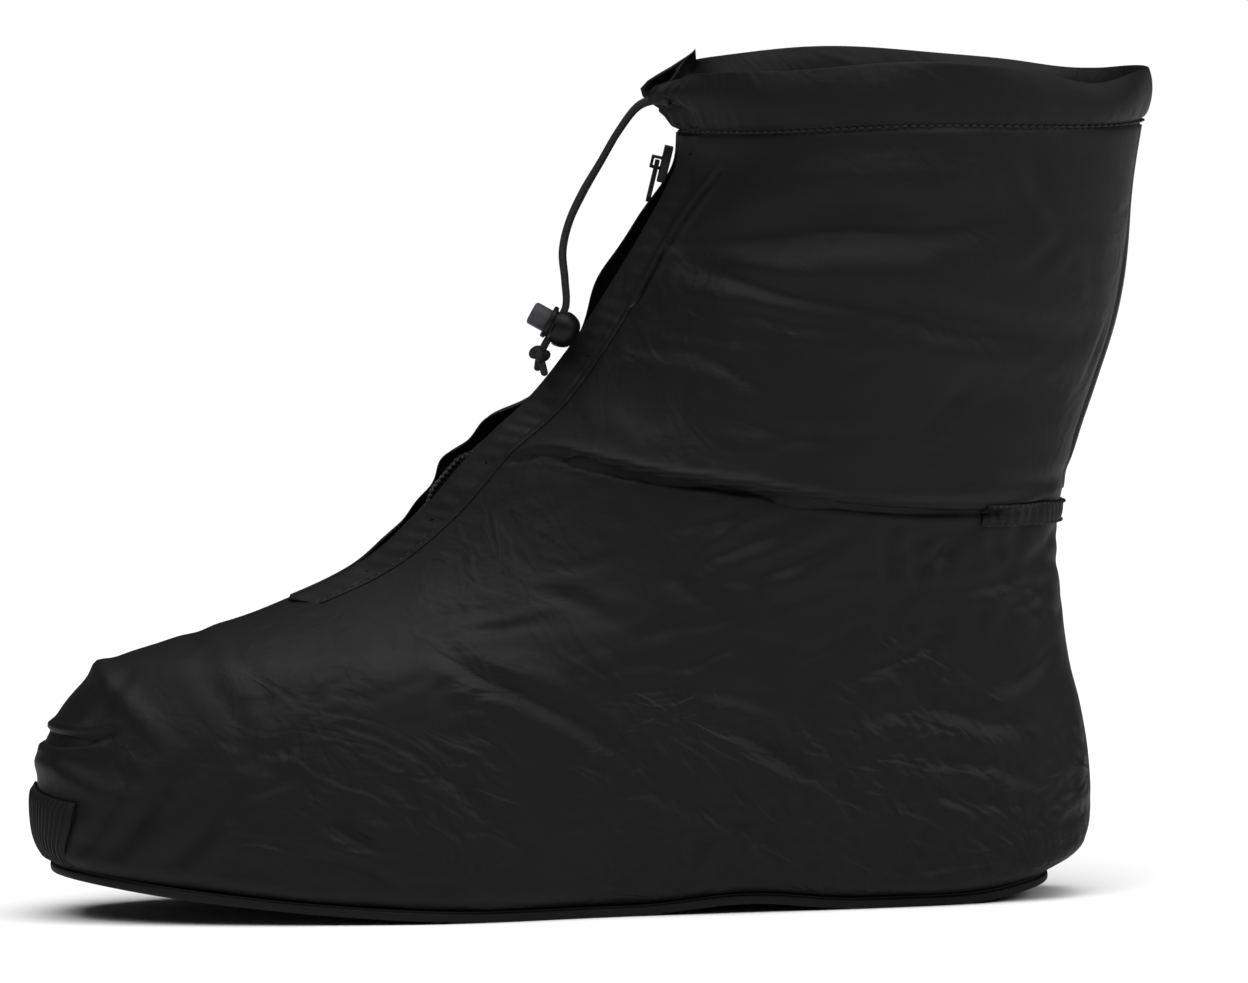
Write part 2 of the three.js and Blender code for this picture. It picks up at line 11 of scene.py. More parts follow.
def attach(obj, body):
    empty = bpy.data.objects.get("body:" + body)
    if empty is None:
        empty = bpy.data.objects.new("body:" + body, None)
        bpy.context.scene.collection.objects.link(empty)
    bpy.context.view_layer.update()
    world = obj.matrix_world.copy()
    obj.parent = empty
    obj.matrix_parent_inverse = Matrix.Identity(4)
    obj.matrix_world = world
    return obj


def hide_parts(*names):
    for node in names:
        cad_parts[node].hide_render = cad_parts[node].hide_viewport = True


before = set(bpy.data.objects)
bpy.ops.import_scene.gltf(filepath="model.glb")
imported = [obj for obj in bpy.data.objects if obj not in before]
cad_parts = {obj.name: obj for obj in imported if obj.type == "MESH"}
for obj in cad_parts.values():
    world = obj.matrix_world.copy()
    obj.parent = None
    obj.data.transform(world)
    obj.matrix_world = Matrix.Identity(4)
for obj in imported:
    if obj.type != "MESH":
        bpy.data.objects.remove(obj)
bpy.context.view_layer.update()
MM = 0.001

# ---------------------------------------------------------------- studio: camera, floor and lights
# A long lens looks at the shoe's left side from slightly above, rolled so that the heel stands higher.
# The floor is pale matt paper. A wide overhead light, a key softbox in front and one at the heel light it.
camera_distance = 4.0
camera_elevation = math.radians(4.2)
camera_roll = math.radians(-1.25)
view_centre = Vector((0.0083, 0.0, 0.1113))
view_width = 0.337
sensor_width = 36.0


def stand(name, data):
    """Adds a named object to the scene."""
    made = bpy.data.objects.new(name, data)
    bpy.context.scene.collection.objects.link(made)
    return made


back = Vector((0.0, -math.cos(camera_elevation), math.sin(camera_elevation)))
camera_data = bpy.data.cameras.new("product_camera")
camera_data.sensor_width = sensor_width
camera_data.lens = sensor_width * camera_distance / view_width
camera_data.clip_end = 100.0
camera = stand("product_camera", camera_data)
camera.location = view_centre + back * camera_distance
camera.rotation_mode = "QUATERNION"
camera.rotation_quaternion = (-back).to_track_quat("-Z", "Y") @ Quaternion((0.0, 0.0, 1.0), camera_roll)
bpy.context.scene.camera = camera
bpy.context.scene.view_settings.view_transform = "Standard"


def tone(hex_colour):
    """A linear colour from an sRGB hex value."""
    parts = [int(hex_colour[i:i + 2], 16) / 255 for i in (1, 3, 5)]
    return tuple(c / 12.92 if c <= 0.04045 else ((c + 0.055) / 1.055) ** 2.4 for c in parts) + (1.0,)


def node(tree, kind, settings=None, **inputs):
    """Adds a node with its settings. An input is a value, a socket, or a node whose first output it takes."""
    made = tree.nodes.new(kind if kind.startswith(("Geometry", "Function")) else "ShaderNode" + kind)
    for key, value in (settings or {}).items():
        setattr(made, key, value)
    for key, value in inputs.items():
        names = [s.name.replace(" ", "_").replace(".", "") for s in made.inputs]
        socket = made.inputs[int(key[1:])] if key[1:].isdigit() else made.inputs[names.index(key)]
        value = value.outputs[0] if isinstance(value, bpy.types.Node) else value
        if isinstance(value, bpy.types.NodeSocket):
            tree.links.new(value, socket)
        else:
            socket.default_value = value
    return made


def finish_material(name):
    """A new material whose node tree is emptied."""
    material = bpy.data.materials.new(name)
    material.use_nodes = True
    material.node_tree.nodes.clear()
    return material, material.node_tree


# Seamless studio paper: matt, with a faint fibre tooth.
studio_paper, tree = finish_material("matt_studio_paper")
place = node(tree, "TexCoord").outputs["Object"]
fibres = node(tree, "TexNoise", Vector=place, Scale=900.0, Detail=3.0)
bump = node(tree, "Bump", Strength=0.05, Distance=0.0002, Height=fibres)
shade = node(tree, "MapRange", Value=fibres, To_Min=0.9, To_Max=0.94)
paper_shader = node(tree, "BsdfPrincipled", Base_Color=shade, Roughness=0.9, Normal=bump)
node(tree, "OutputMaterial", Surface=paper_shader)

floor_radius, floor_sides = 9.0, 96
floor_mesh = bpy.data.meshes.new("studio_floor")
floor_turns = [i * 2 * math.pi / floor_sides for i in range(floor_sides)]
floor_rim = [(floor_radius * math.cos(t), floor_radius * math.sin(t), 0.0) for t in floor_turns]
floor_mesh.from_pydata(floor_rim, [], [list(range(floor_sides))])
floor_mesh.materials.append(studio_paper)
stand("studio_floor", floor_mesh)

world = bpy.data.worlds.new("studio_room")
bpy.context.scene.world = world
world.use_nodes = True
tree = world.node_tree
tree.nodes.clear()
seen = node(tree, "LightPath").outputs["Is Camera Ray"]
room = node(tree, "Mix", {"data_type": "RGBA"}, _0=seen, _6=tone("#3e3e40"), _7=tone("#ffffff"))
glow = node(tree, "Background", Color=room.outputs[2], Strength=1.0)
node(tree, "OutputWorld", Surface=glow)


def softbox(name, kind, energy, place, aim, size):
    """A soft light at a place, aimed at a point. For a sun, size is its angle."""
    data = bpy.data.lights.new(name, kind)
    data.energy = energy
    if kind == "SUN":
        data.angle = size
    else:
        data.shape, data.size, data.size_y = "RECTANGLE", size[0], size[1]
    lamp = stand(name, data)
    lamp.location = place
    lamp.rotation_mode = "QUATERNION"
    lamp.rotation_quaternion = (Vector(aim) - Vector(place)).to_track_quat("-Z", "Y")


softbox("overhead_sky", "SUN", 3.5, (0.0, -0.6, 3.0), (0.0, 0.0, 0.0), math.radians(70))
softbox("key_softbox", "AREA", 8.4, (-0.8, -1.5, 1.7), (0.0, 0.0, 0.12), (1.3, 1.0))
softbox("heel_softbox", "AREA", 10.5, (1.3, -0.5, 1.0), (0.05, 0.0, 0.12), (0.6, 1.0))

# ---------------------------------------------------------------- drawcord: two free ends of one elastic cord
# A 2 mm elastic cord with a braided polyester cover runs in the collar hem. Its ends leave the hem's two
# mouths, hang down in front of the shaft, pass through the cord lock side by side and meet in a knot.
toe_to_origin = 152.607
cord_diameter = 2.0
barrel_diameter = 10.0
cord_spacing = 2.4
lock_place = np.array([145.2, -10.5, 156.3])
lock_tilt = math.radians(90 + 30)
lock_axis = np.array([math.sin(lock_tilt), 0.0, math.cos(lock_tilt)])
cord_down = np.array([lock_axis[2], 0.0, -lock_axis[0]])
lock_hole = lock_place - 2.0 * lock_axis
lock_reach = barrel_diameter / 2 + 0.6
cord_routes = {
    "drawcord_near": (-1, [
        (175.4, -11.1, 216.9), (170.8, -6.8, 216.9), (166.8, -4.8, 215.2), (161.6, -4.8, 209.0),
        (156.4, -5.2, 200.6), (151.3, -6.2, 192.5), (147.5, -7.6, 184.5), (145.7, -9.2, 177.0),
        (146.2, -10.9, 169.5)]),
    "drawcord_far": (1, [
        (175.4, 11.1, 216.9), (170.8, 6.8, 216.9), (166.9, 4.6, 215.2), (161.8, 2.2, 209.0),
        (156.6, -0.4, 200.6), (151.7, -2.6, 192.5), (147.7, -4.7, 184.5), (145.9, -6.6, 177.0),
        (146.3, -8.5, 169.5)]),
}


def in_row_frame(points):
    """Points in millimetres from the toe tip as metres in the row frame."""
    return (np.asarray(points, float) - (toe_to_origin, 0.0, 0.0)) * MM


def run_along(points):
    """The distance from the start of a line to each of its points."""
    return np.concatenate([[0], np.cumsum(np.linalg.norm(np.diff(points, axis=0), axis=1))])


def smooth_route(points, steps):
    """A centripetal curve through the points, evenly spaced along its length."""
    p = np.asarray(points, float)
    p = np.vstack([2 * p[0] - p[1], p, 2 * p[-1] - p[-2]])
    found = []
    for i in range(1, len(p) - 2):
        gaps = [np.linalg.norm(p[i + k] - p[i + k - 1]) ** 0.5 for k in (0, 1, 2)]
        first = ((p[i] - p[i - 1]) / gaps[0] - (p[i + 1] - p[i - 1]) / (gaps[0] + gaps[1])
                 + (p[i + 1] - p[i]) / gaps[1]) * gaps[1]
        last = ((p[i + 1] - p[i]) / gaps[1] - (p[i + 2] - p[i]) / (gaps[1] + gaps[2])
                + (p[i + 2] - p[i + 1]) / gaps[2]) * gaps[1]
        for t in np.linspace(0, 1, 24, endpoint=False):
            found.append((2 * t ** 3 - 3 * t ** 2 + 1) * p[i] + (t ** 3 - 2 * t ** 2 + t) * first
                         + (3 * t ** 2 - 2 * t ** 3) * p[i + 1] + (t ** 3 - t ** 2) * last)
    found = np.array(found + [p[-2]])
    length = run_along(found)
    even = np.linspace(0, length[-1], steps + 1)
    return np.stack([np.interp(even, length, found[:, k]) for k in range(3)], axis=1)


def put_mesh(name, vertices, faces, material, body, uv=None):
    """Makes a mesh piece, in metres in the row frame. uv gives each vertex its place on the sheet."""
    mesh = bpy.data.meshes.new(name)
    mesh.from_pydata([tuple(v) for v in np.asarray(vertices, float).tolist()], [], faces)
    mesh.polygons.foreach_set("use_smooth", [True] * len(mesh.polygons))
    if uv is not None:
        corners = np.empty(len(mesh.loops), np.int32)
        mesh.loops.foreach_get("vertex_index", corners)
        layer = mesh.uv_layers.new(name="sheet_place")
        layer.data.foreach_set("uv", np.asarray(uv, np.float32)[corners].ravel())
    mesh.materials.append(material)
    mesh.update()
    piece = stand(name, mesh)
    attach(piece, body)
    return piece


def tube(route, radius, sides):
    """Vertices, faces and sheet places of a closed round tube along a route, in the route's own unit."""
    route = np.asarray(route, float)
    ahead = np.gradient(route, axis=0)
    ahead /= np.linalg.norm(ahead, axis=1)[:, None]
    up = np.array([0.0, 1.0, 0.0])
    vertices, places, distance = [], [], 0.0
    radii = np.broadcast_to(radius, len(route))
    for i, point in enumerate(route):
        up = up - ahead[i] * (up @ ahead[i])
        up /= np.linalg.norm(up)
        side = np.cross(ahead[i], up)
        distance += np.linalg.norm(point - route[i - 1]) if i else 0.0
        for k in range(sides):
            turn = 2 * math.pi * k / sides
            vertices.append(point + radii[i] * (math.cos(turn) * up + math.sin(turn) * side))
            places.append((distance, k / sides))
    faces = [[low + k, low + (k + 1) % sides, low + sides + (k + 1) % sides, low + sides + k]
             for low in range(0, (len(route) - 1) * sides, sides) for k in range(sides)]
    faces += [list(range(sides))[::-1], [(len(route) - 1) * sides + k for k in range(sides)]]
    return np.array(vertices), faces, np.array(places)


# Braided polyester cover: sixteen carriers in a herring-bone, dull black, with a painted highlight on their
# crowns and painted shade in the grooves between them.
braid_pitch = 1.3 * MM
braided_cord, tree = finish_material("braided_polyester_cord")
along = node(tree, "SeparateXYZ", Vector=node(tree, "TexCoord").outputs["UV"])
steps = node(tree, "Math", {"operation": "DIVIDE"}, _0=along.outputs["X"], _1=braid_pitch)
round_about = node(tree, "Math", {"operation": "MULTIPLY"}, _0=along.outputs["Y"], _1=4.0)
strands = []
for operation in ("ADD", "SUBTRACT"):
    slant = node(tree, "Math", {"operation": operation}, _0=steps, _1=round_about)
    strands.append(node(tree, "Math", {"operation": "PINGPONG"}, _0=slant, _1=0.5))
weave = node(tree, "Math", {"operation": "MULTIPLY"}, _0=strands[0], _1=strands[1])
fuzz = node(tree, "TexNoise", Vector=node(tree, "TexCoord").outputs["Object"], Scale=4000.0, Detail=2.0)
relief_sum = node(tree, "Math", {"operation": "MULTIPLY_ADD"}, _0=weave, _1=4.0, _2=fuzz)
bump = node(tree, "Bump", Strength=0.8, Distance=0.00025, Height=relief_sum)
# Painted shading: the raised crowns of the weave are painted paler and the grooves between carriers darker.
painted_braid_shading = node(tree, "Mix", {"data_type": "RGBA"}, _0=weave, _6=tone("#0a0a0b"), _7=tone("#222225"))
cord_shader = node(tree, "BsdfPrincipled", Base_Color=painted_braid_shading.outputs[2], Roughness=0.72,
                   Specular_IOR_Level=0.3, Normal=bump)
node(tree, "OutputMaterial", Surface=cord_shader)

cords = {}
for name, (side, points) in cord_routes.items():
    in_lock = lock_hole + (0.0, side * cord_spacing / 2, 0.0)
    knot_top = lock_hole + (lock_reach + 2.6) * cord_down + (0.0, side * 0.75, 0.0)
    ends = [in_lock - lock_reach * cord_down, in_lock, in_lock + lock_reach * cord_down, knot_top]
    route = smooth_route([np.array(p) for p in points] + ends, 150)
    vertices, faces, places = tube(route, cord_diameter / 2, 16)
    cord = put_mesh(name + "_braid", in_row_frame(vertices), faces, braided_cord, "shoe",
                    uv=places * (MM, 1.0))
    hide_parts(name)
    cords[name] = (cord, in_row_frame(route))

# ---------------------------------------------------------------- cord lock: barrel, sprung plunger and knot
# A moulded black barrel holds a grey plunger on a spring, and both are drilled across for the two cord ends.
# The ends are tied in one overhand knot below it, with two short tails.
barrel_length = 9.0
plunger_diameter = 6.4
plunger_reach = 5.0
plunger_sink = 4.6
lathe_sides = 56


def turned(profile):
    """A closed turned solid from (radius, level) rows that start and end on its axis, in millimetres."""
    vertices, faces, rings = [], [], []
    for radius, level in profile:
        if radius == 0:
            rings.append([len(vertices)])
            vertices.append((0.0, level, 0.0))
            continue
        rings.append(list(range(len(vertices), len(vertices) + lathe_sides)))
        vertices += [(radius * math.sin(2 * math.pi * k / lathe_sides), level,
                      radius * math.cos(2 * math.pi * k / lathe_sides)) for k in range(lathe_sides)]
    for low, high in zip(rings, rings[1:]):
        for k in range(lathe_sides):
            quad = [low[k % len(low)], low[(k + 1) % len(low)],
                    high[(k + 1) % len(high)], high[k % len(high)]]
            corners = list(dict.fromkeys(quad))
            if len(corners) > 2:
                faces.append(corners)
    return vertices, faces


def settle(piece):
    """Makes a piece's modifiers part of its mesh."""
    finished = bpy.data.meshes.new_from_object(piece.evaluated_get(bpy.context.evaluated_depsgraph_get()))
    piece.modifiers.clear()
    piece.data = finished


def round_edges(piece, width, segments, angle):
    """Rounds over a piece's edges that are sharper than an angle."""
    edge = piece.modifiers.new("softened_edges", "BEVEL")
    edge.width, edge.segments, edge.limit_method = width, segments, "ANGLE"
    edge.angle_limit = math.radians(angle)
    settle(piece)


def dress(piece, material, body, node_name):
    """Gives a hard piece its material, smooth faces and body, and hides the CAD node that it stands for."""
    piece.data.materials.clear()
    piece.data.materials.append(material)
    piece.data.polygons.foreach_set("use_smooth", [True] * len(piece.data.polygons))
    piece.data.set_sharp_from_angle(angle=math.radians(35))
    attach(piece, body)
    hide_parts(node_name)


def moulded_plastic(name, colour, worn, roughness):
    """Injection-moulded acetal: satin, with a fine spark-eroded grain and slightly worn crowns."""
    material, tree = finish_material(name)
    place = node(tree, "TexCoord").outputs["Object"]
    grain = node(tree, "TexNoise", Vector=place, Scale=2600.0, Detail=2.0)
    smear = node(tree, "TexNoise", Vector=place, Scale=420.0, Detail=3.0)
    mix = node(tree, "Mix", {"data_type": "RGBA"}, _0=smear, _6=tone(colour), _7=tone(worn))
    gloss = node(tree, "MapRange", Value=smear, To_Min=roughness - 0.07, To_Max=roughness + 0.09)
    bump = node(tree, "Bump", Strength=0.22, Distance=0.00006, Height=grain)
    shader = node(tree, "BsdfPrincipled", Base_Color=mix.outputs[2], IOR=1.48, Specular_IOR_Level=0.16,
                  Roughness=gloss, Normal=bump)
    node(tree, "OutputMaterial", Surface=shader)
    return material


barrel_plastic = moulded_plastic("moulded_acetal_black", "#060607", "#0c0c0d", 0.4)
plunger_plastic = moulded_plastic("moulded_acetal_grey", "#2c2c2f", "#3e3e41", 0.5)

half = barrel_length / 2
bore = plunger_diameter / 2 + 0.3
bore_bottom = plunger_sink - half + 0.3
barrel_radius = barrel_diameter / 2
barrel_profile = [(0, bore_bottom), (bore, bore_bottom), (bore, -half), (4.35, -half), (4.62, -half + 0.25),
                  (4.62, -half + 1.1), (4.2, -half + 1.5), (4.2, -half + 1.9), (4.75, -half + 2.5)]
barrel_profile += [(barrel_radius * math.cos(t) ** 0.62, half * math.sin(t) ** 1.15)
                   for t in np.linspace(0.02, math.pi / 2 - 0.06, 14)] + [(0, half)]
plunger_low = -half - plunger_reach
plunger_radius = plunger_diameter / 2
plunger_profile = [(0, plunger_low + 0.5), (1.1, plunger_low + 0.5), (1.5, plunger_low)]
plunger_profile += [(plunger_radius - 0.9 * (1 - math.sin(t)), plunger_low + 0.9 * (1 - math.cos(t)))
                    for t in np.linspace(0, math.pi / 2, 6)]
plunger_profile += [(plunger_radius, plunger_sink - half), (0, plunger_sink - half)]

on_lock = Matrix((
    (0.0, lock_axis[0], -cord_down[0], lock_place[0] - toe_to_origin),
    (1.0, lock_axis[1], -cord_down[1], lock_place[1]),
    (0.0, lock_axis[2], -cord_down[2], lock_place[2]),
    (0.0, 0.0, 0.0, 1.0)))
scale_down = Matrix.Scale(MM, 4)

hole_mesh = bpy.data.meshes.new("cord_hole")
hole_corners = [((cord_spacing / 2 + 1.3) * x, -2.0 + 1.3 * y, barrel_diameter * z)
                for x in (-1, 1) for y in (-1, 1) for z in (-1, 1)]
hole_mesh.from_pydata(hole_corners, [], [(0, 1, 3, 2), (4, 6, 7, 5), (0, 4, 5, 1), (2, 3, 7, 6), (0, 2, 6, 4),
                                         (1, 5, 7, 3)])
hole = stand("cord_hole", hole_mesh)
round_hole = hole.modifiers.new("round_hole", "BEVEL")
round_hole.width, round_hole.segments = 1.25, 6
for name, profile, plastic, slot in (
        ("toggle_barrel", barrel_profile, barrel_plastic, "slider"),
        ("toggle_plunger", plunger_profile, plunger_plastic, "lock_grey")):
    vertices, faces = turned(profile)
    mesh = bpy.data.meshes.new(name + "_moulding")
    mesh.from_pydata(vertices, [], faces)
    piece = stand(name + "_moulding", mesh)
    cutter = piece.modifiers.new("cord_hole", "BOOLEAN")
    cutter.operation, cutter.solver, cutter.object = "DIFFERENCE", "EXACT", hole
    round_edges(piece, 0.18, 2, 40)
    piece.data.transform(scale_down @ on_lock)
    dress(piece, plastic, "shoe", name)
bpy.data.objects.remove(hole)

# The overhand knot is the same cord wound round itself, and its two heat-sealed tails spread below it.
knot_centre = lock_hole + (barrel_diameter / 2 + 3.9) * cord_down
knot_turn = np.linspace(0, 2 * math.pi, 161)[:-1]
knot_size = 0.66
knot_loop = np.stack([np.sin(knot_turn) + 2 * np.sin(2 * knot_turn),
                      np.cos(knot_turn) - 2 * np.cos(2 * knot_turn),
                      -1.5 * np.sin(3 * knot_turn)], axis=1) * knot_size
knot_axes = np.stack([lock_axis, (0.0, 1.0, 0.0), cord_down], axis=0)
knot_route = knot_centre + knot_loop @ knot_axes
knot_parts = [(np.vstack([knot_route, knot_route[:1]]), 1.05)]
for spread, tilt in ((-1, 0.9), (1, 0.35)):
    lean = cord_down * 0.95 + spread * 0.5 * np.array([0.0, 1.0, 0.0]) + tilt * lock_axis
    tail = [knot_centre + step * lean for step in (0.5, 1.8, 3.2, 4.4)]
    knot_parts.append((smooth_route(tail, 16), np.array([1.0] * 15 + [0.9, 0.55])))
vertices, faces, places = [], [], []
for route, radius in knot_parts:
    part_vertices, part_faces, part_places = tube(route, radius, 12)
    shift = sum(len(v) for v in vertices)
    vertices.append(part_vertices)
    faces += [[v + shift for v in face] for face in part_faces]
    places.append(part_places)
knot = put_mesh("cord_knot_tied", in_row_frame(np.concatenate(vertices)), faces, braided_cord, "shoe",
                uv=np.concatenate(places) * (MM, 1.0))
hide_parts("cord_knot")
for name, (cord, route) in cords.items():
    run = float(np.linalg.norm(np.diff(route, axis=0), axis=1).sum())

# ---------------------------------------------------------------- upper: the welded shell of the overshoe
# One shell of 1.2 mm PVC-coated polyester, welded up the back and slit down the front for the zip.
# Its form is a stack of rings, as in the part, and the soft folds of the thin sheet are laid over it.
shoe_length = 285.0
collar_height = 225.0
ball_width = 108.0
heel_width = 80.0
toe_spring, toe_spring_reach, toe_spring_power = 13.0, 125.0, 1.6
arch_rise, arch_front, arch_back = 2.3, 160.0, 222.0
heel_rise, heel_rise_reach = 8.0, 40.0
sole_thickness = 3.0
clearance = 0.3
sole_top = sole_thickness + clearance
upper_wall = 1.2
slot_width = 8.0
zip_start = 68.0
casing_height = 17.0
ball_share, waist_share, heel_share = 0.36, 0.62, 0.86
ring_columns = ("front", "front_up", "back", "back_up", "ball", "waist", "heel", "tip", "tail", "follow")
ring_rows = np.array([
    (0.016, 0.0, 0.956, 0.0, 0.92, 0.7, 0.9, 0.74, 0.58, 1),
    (0.005, 0.02, 0.98, 0.012, 0.965, 0.75, 0.97, 0.74, 0.58, 1),
    (0.001, 0.05, 0.995, 0.03, 0.985, 0.79, 1.0, 0.74, 0.58, 0.9),
    (0.001, 0.105, 1.0, 0.09, 0.985, 0.82, 1.02, 0.76, 0.58, 0.6),
    (0.008, 0.178, 1.0, 0.137, 0.965, 0.83, 1.01, 0.82, 0.6, 0.2),
    (0.018, 0.232, 0.998, 0.185, 0.935, 0.82, 1.0, 0.92, 0.62, 0),
    (0.04, 0.27, 0.992, 0.232, 0.9, 0.81, 0.98, 1, 0.65, 0),
    (0.075, 0.306, 0.984, 0.275, 0.855, 0.8, 0.965, 1.08, 0.68, 0),
    (0.14, 0.332, 0.979, 0.32, 0.79, 0.78, 0.955, 1.15, 0.72, 0),
    (0.222, 0.365, 0.976, 0.363, 0.74, 0.77, 0.95, 1.3, 0.76, 0),
    (0.3, 0.411, 0.973, 0.406, 0.71, 0.77, 0.95, 1.45, 0.8, 0),
    (0.36, 0.475, 0.974, 0.45, 0.7, 0.77, 0.96, 1.6, 0.82, 0),
    (0.41, 0.545, 0.981, 0.5, 0.71, 0.78, 0.98, 1.7, 0.84, 0),
    (0.465, 0.603, 0.993, 0.555, 0.73, 0.79, 1.0, 1.75, 0.86, 0),
    (0.508, 0.665, 1.01, 0.615, 0.76, 0.8, 1.02, 1.75, 0.88, 0),
    (0.547, 0.735, 1.031, 0.695, 0.78, 0.81, 1.05, 1.75, 0.9, 0),
    (0.585, 0.808, 1.044, 0.78, 0.79, 0.82, 1.07, 1.7, 0.9, 0),
    (0.614, 0.872, 1.052, 0.86, 0.79, 0.82, 1.08, 1.6, 0.9, 0),
    (0.621, 0.924, 1.061, 0.924, 0.79, 0.82, 1.08, 1.35, 0.9, 0),
    (0.623, 1.0, 1.071, 0.99, 0.79, 0.82, 1.08, 1.1, 0.9, 0),
])
last_row = len(ring_rows) - 1
hem_row = last_row - 1


def ease(low, high, value):
    """A smooth step from 0 at low to 1 at high."""
    share = np.clip((value - low) / (high - low), 0, 1)
    return share * share * (3 - 2 * share)


def sole_curve(x):
    """Height of the sole's underside above the floor at a distance from the toe."""
    spring = toe_spring * np.maximum(0, 1 - x / toe_spring_reach) ** toe_spring_power
    arch = arch_rise * np.sin(np.pi * np.clip((x - arch_front) / (arch_back - arch_front), 0, 1)) ** 2
    return spring + arch + heel_rise * np.maximum(0, (x - shoe_length) / heel_rise_reach + 1) ** 2


def ring_value(name, row):
    """A smooth curve through one column of the ring table."""
    column = ring_rows[:, ring_columns.index(name)]
    place = np.clip(row, 0, last_row)
    index = np.minimum(last_row - 1, np.floor(place)).astype(int)
    share = place - index
    before, start, end, after = [column[np.clip(index + k, 0, last_row)] for k in (-1, 0, 1, 2)]
    square, cube = share ** 2, share ** 3
    return (start * (2 * cube - 3 * square + 1) + (end - before) / 2 * (cube - 2 * square + share)
            + end * (3 * square - 2 * cube) + (after - start) / 2 * (cube - square))


def ring_point(angle, row):
    """Points of the rings, in mm from the toe tip. Angles run from the toe, positive on the +Y side."""
    angle, row = np.broadcast_arrays(np.asarray(angle, float), np.asarray(row, float))
    share = (1 - np.cos(angle)) / 2
    front, rear = ring_value("front", row), ring_value("back", row)
    x = (front + (rear - front) * share) * shoe_length
    forward = ease(ball_share, waist_share, share)
    rearward = ease(waist_share, heel_share, share)
    ball, waist = ring_value("ball", row) * ball_width, ring_value("waist", row) * ball_width
    width = ball + (waist - ball) * forward
    width = width + (ring_value("heel", row) * heel_width - width) * rearward
    power = ring_value("tip", row) + (ring_value("tail", row) - ring_value("tip", row)) * forward
    y = width / 2 * np.sign(np.sin(angle)) * np.abs(np.sin(angle)) ** power
    low, high = ring_value("front_up", row), ring_value("back_up", row)
    z = (low + (high - low) * share) * collar_height + ring_value("follow", row) * (sole_curve(x) + sole_top)
    return np.stack([x, y, z], axis=-1)


def ring_normal(angle, row):
    """The form's own outward direction."""
    step = 0.05
    around = ring_point(angle + step, row) - ring_point(angle - step, row)
    above, below = np.minimum(last_row, row + step), np.maximum(0, row - step)
    upward = ring_point(angle, above) - ring_point(angle, below)
    normal = np.cross(upward, around)
    return normal / np.linalg.norm(normal, axis=-1, keepdims=True)


def front_angle(y, row):
    """The angle on a ring at a distance to the side of the front centre line."""
    reach = ring_value("ball", row) * ball_width / 2
    return np.sign(y) * np.arcsin((np.abs(y) / reach) ** (1 / ring_value("tip", row)))


def row_where(measure, value):
    """The row at which a rising measure of the form reaches a value."""
    low, high = 0.0, float(last_row)
    for _ in range(40):
        middle = (low + high) / 2
        low, high = (middle, high) if measure(middle) < value else (low, middle)
    return (low + high) / 2


# Folds of the sheet, in millimetres from the toe tip along the shoe and up from the floor.
# Columns: the side that shows it, the kind of its section, half width, depth, and the points x,z of its line.
# A crease is a trough between two low rolls, a press is a broad flat dent, a roll stands out, and a drape
# hangs over the line from above. A fold across the toe runs down both sides from its centre line.
folds = """
    left drape 3.2 2.6  134,123 142,123.6 154,121.4 170,117.8 197,113.8 214,111
    left crease 1.5 2.6  132,121.6 140,123 154,120.5 170,116.7 197,112.6 216,109.6
    left crease 1.6 1.8  205,111.2 227,107.8 242,106.6 262,105.8
    left crease 1.3 2.5  165,163 170,171 176,180 183,190 188.5,198.5
    left drape 3.6 2  195,113 222,110 240,108 258,107 276,109
    left crease 4 0.9  227,116 252,112 281,114
    left crease 9 3.2  181,178 203,182 222,184 244,183 268,186
    left roll 8 1.2  196,196 222,199 257,197
    left crease 4.6 1.6  179,174 194,170 208,165 222,163
    left crease 3.6 0.9  192,162 208,158 225,155
    left crease 7 2.3  217,164 235,161 252,155 284,152
    left crease 3.4 0.8  165,151 181,150 196,143
    left crease 3.5 0.6  171,157 187,154
    left roll 5 0.8  152,135 165,128 181,126
    left crease 5 1.1  271,201 276,189 288,179
    left crease 4 0.8  262,197 271,184
    left press 9 2.4  230,137 252,138 281,135
    left crease 4 0.7  187,135 208,128 230,126
    left crease 4 1.2  112,73 127,63 144,54
    left crease 3.6 1  127,65 146,55 165,43
    left crease 3.6 0.9  138,57 157,45 181,30
    left crease 4.5 0.9  154,60 176,62 198,57
    left crease 3.4 0.8  144,44 160,37 179,27
    left crease 4 1  109,42 119,32 134,20
    left crease 3.6 0.6  160,69 187,66
    left crease 4.2 1.1  179,55 194,48 208,37
    left crease 3.6 0.8  168,35 187,25 208,13
    left crease 3.6 0.8  192,48 208,38 226,27
    left crease 5.5 1.2  220,52 241,53 264,47
    left crease 5 1  225,42 244,41 264,36
    left crease 4 0.8  230,29 246,29 264,26
    left crease 4 0.7  138,88 154,82
    left crease 4 0.7  171,93 187,81
    left crease 4 0.6  192,92 204,81
    left crease 2.8 0.9  230,102 232,88
    left crease 2.8 0.8  239,101 240,86
    left crease 2.8 0.7  248,100 246,90
    left crease 2.8 0.7  259,101 262,90
    left crease 5 1.5  19,14 30,30 46,45
    left crease 4.5 1  33,9 42,21 57,36
    left crease 4 1.2  12,16 21,31 27,39
    left crease 4 0.3  49,73 53,59 60,46
    left crease 3.4 0.25  58,78 61,66 66,56
    across press 7.5 2.2  12,62 15,59 20,54 28,48
    across crease 2.4 3  5,48.5 8,48.5 14,49 22,51
    across roll 3 1.9  18.5,67 21,64 27,58 35,50
    across crease 3.2 0.7  25,70.5 27,67 31,62
    across roll 3.4 2  3,42 6,41.5 12,39 22,35 30,33
    left crease 4 0.8  26,66 23,60 16,53
    across crease 5 0.4  45,77 47,72 52,66
    left crease 3.2 1.2  71,19 84,17 96,11
    left crease 3.6 1.2  82,32 87,23 106,19
    left roll 3.2 1.4  109,12 133,8 154,6
    left crease 3.4 1.3  266,6 277,11 285,20
    left crease 4 1  252,18 268,22 281,33
"""
fold_draw = np.random.default_rng(20)
small_folds = 300


